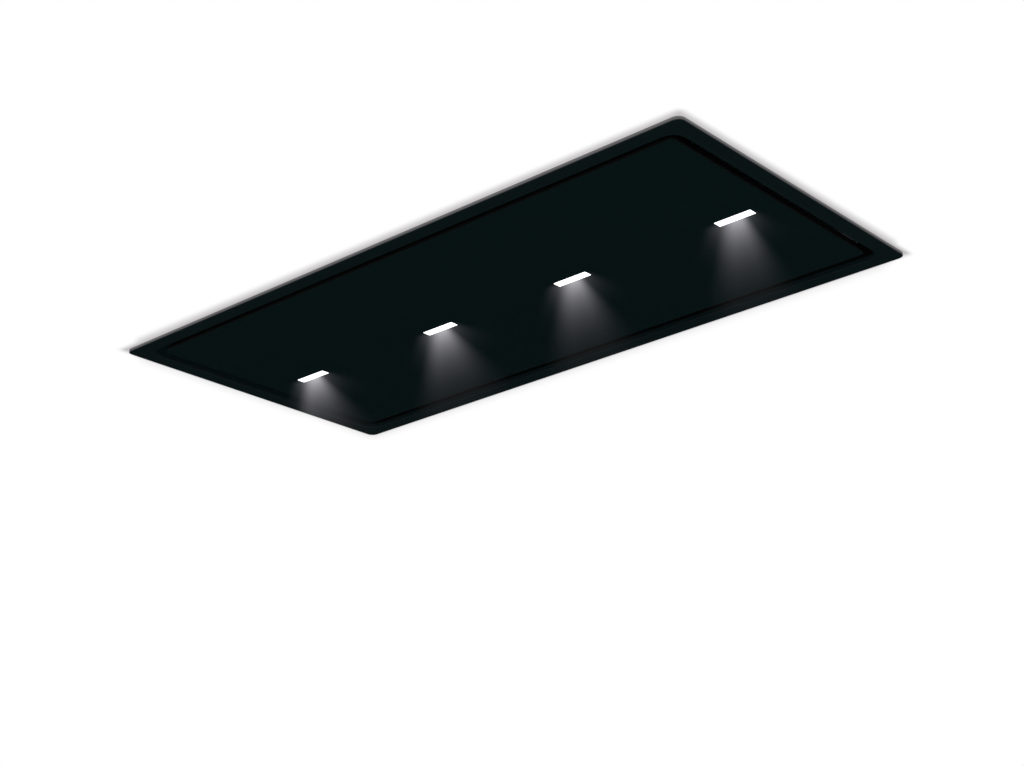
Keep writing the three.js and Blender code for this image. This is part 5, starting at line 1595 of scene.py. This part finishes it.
@dataclass
class LightBeams:
    """The fans of light that stand under the four light bars.

    A side or a wing is how wide it is at the bar and how far it opens for each metre down. The
    core's fades are how deep each of its two parts goes and how bright it starts. A soft pair is
    where an edge starts to fade and where it has faded, in parts of the width there.
    """

    spreads: tuple[float, ...] = (1.21, 1.12, 0.86, 0.64)
    reaches: Span = (0.13, 0.19)
    thick: float = 0.014
    drop: float = 0.2
    gap: float = 0.5 * MM
    colour: RGB = (1.0, 0.97, 1.045)
    core_fades: tuple[Span, Span] = ((0.0321, 18.1), (0.0391, 1.94))
    right_start: float = 0.0211
    right_soft: Span = (0.36, 1.03)
    left_side: Span = (0.0228, 0.258)
    left_soft: Span = (-0.095, 1.25)
    left_wing: Span = (0.06, 0.52)
    right_wing: Span = (0.0452, 2.0)
    wing_fade: float = 0.0249
    wing_drop: float = 0.0735
    wing_glow: float = 6.5
    bottom_soft: Span = (0.8, 1.0)
    volume_step: float = 0.1

    def build(self) -> None:
        """Makes one glowing body of air for each light bar; it swings with the panel."""
        to_left, to_right = self.reaches
        for number, spread in enumerate(self.spreads, 1):
            name = f"light_beam_{number}"
            low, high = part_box(f"light_lens_{number}")
            start = ((low[X] + high[X]) / 2, (low[Y] + high[Y]) / 2, low[Z] - self.gap)
            bm = bmesh.new()
            bmesh.ops.create_cube(bm, size=1.0)
            size = Matrix.Diagonal((to_left + to_right, 2 * self.thick, self.drop, 1.0))
            centre = Vector(start) + Vector(((to_right - to_left) / 2, 0.0, -self.drop / 2))
            bm.transform(Matrix.Translation(centre) @ size)
            mesh = bpy.data.meshes.new(name)
            bm.to_mesh(mesh)
            bm.free()
            mesh.materials.append(self.air(start, spread))
            beam = bpy.data.objects.new(name, mesh)
            bpy.context.scene.collection.objects.link(beam)
            beam.visible_shadow = beam.visible_diffuse = beam.visible_glossy = False
            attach(beam, "panel")
            LOG.info("%s ready", name)

    def air(self, start: Triple, spread: float) -> bpy.types.Material:
        """Glowing air: a bright core that opens to one side, and dim wings from the bar's ends.

        Args:
            start: the middle of the bar's lower face.
            spread: how far the core opens to the right for each metre down.

        Returns:
            The material.
        """
        made, book = new_material("beam_air")
        down = (book.along(Z) * -1.0 + start[Z]).at_least(0.0)
        beside = book.along(X) - start[X]
        over = abs(book.along(Y) - start[Y])
        (deep, bright), (deeper, dim) = self.core_fades
        fall = (down / -deep).exp() * bright + (down / -deeper).exp() * dim
        right = (beside / (self.right_start + down * spread)).ramp(*self.right_soft, 1.0, 0.0)
        left = self.side_of(beside, down, *self.left_side).ramp(*self.left_soft, 1.0, 0.0)
        left_wing = self.side_of(beside, down, *self.left_wing).ramp(0.0, 1.0, 1.0, 0.0)
        wing_start, wing_spread = self.right_wing
        right_reach = wing_start + down * (wing_spread * spread)
        right_wing = (beside / right_reach).ramp(0.0, 1.0, 1.0, 0.0)
        wing_end = 1.0 - (down / self.wing_drop).at_most(1.0)
        wings = left_wing * right_wing * (down / -self.wing_fade).exp() * wing_end * self.wing_glow
        level = (right * left * fall + wings) * over.ramp(0.0, self.thick, 1.0, 0.0)
        level = level * (down / self.drop).ramp(*self.bottom_soft, 1.0, 0.0)
        glow = book.add("ShaderNodeEmission", None, {"Color": (*self.colour, 1.0), "Strength": level})
        book.add("ShaderNodeOutputMaterial", None, {"Volume": glow.outputs[0]})
        made.cycles.volume_step_rate = self.volume_step
        return made

    @staticmethod
    def side_of(beside: Value, down: Value, start: float, opens: float) -> Value:
        """How far to the left a place lies, 1 where the left side or wing ends there."""
        return beside / (-start - down * opens)


def main() -> None:
    """Builds the studio, dresses the nodes and adds the fittings."""
    logging.basicConfig(level=logging.INFO, format="%(name)s: %(message)s")
    CadDresser().dress(frame["record"], frame["nodes"])
    for assembly in (CeilingFrame, HingedPanel, FilterBay, BlowerBox, DuctOutlet, Electrics, Hangers):
        assembly().build()
    Studio().build()
    LightBeams().build()


if __name__ == "__main__":
    main()
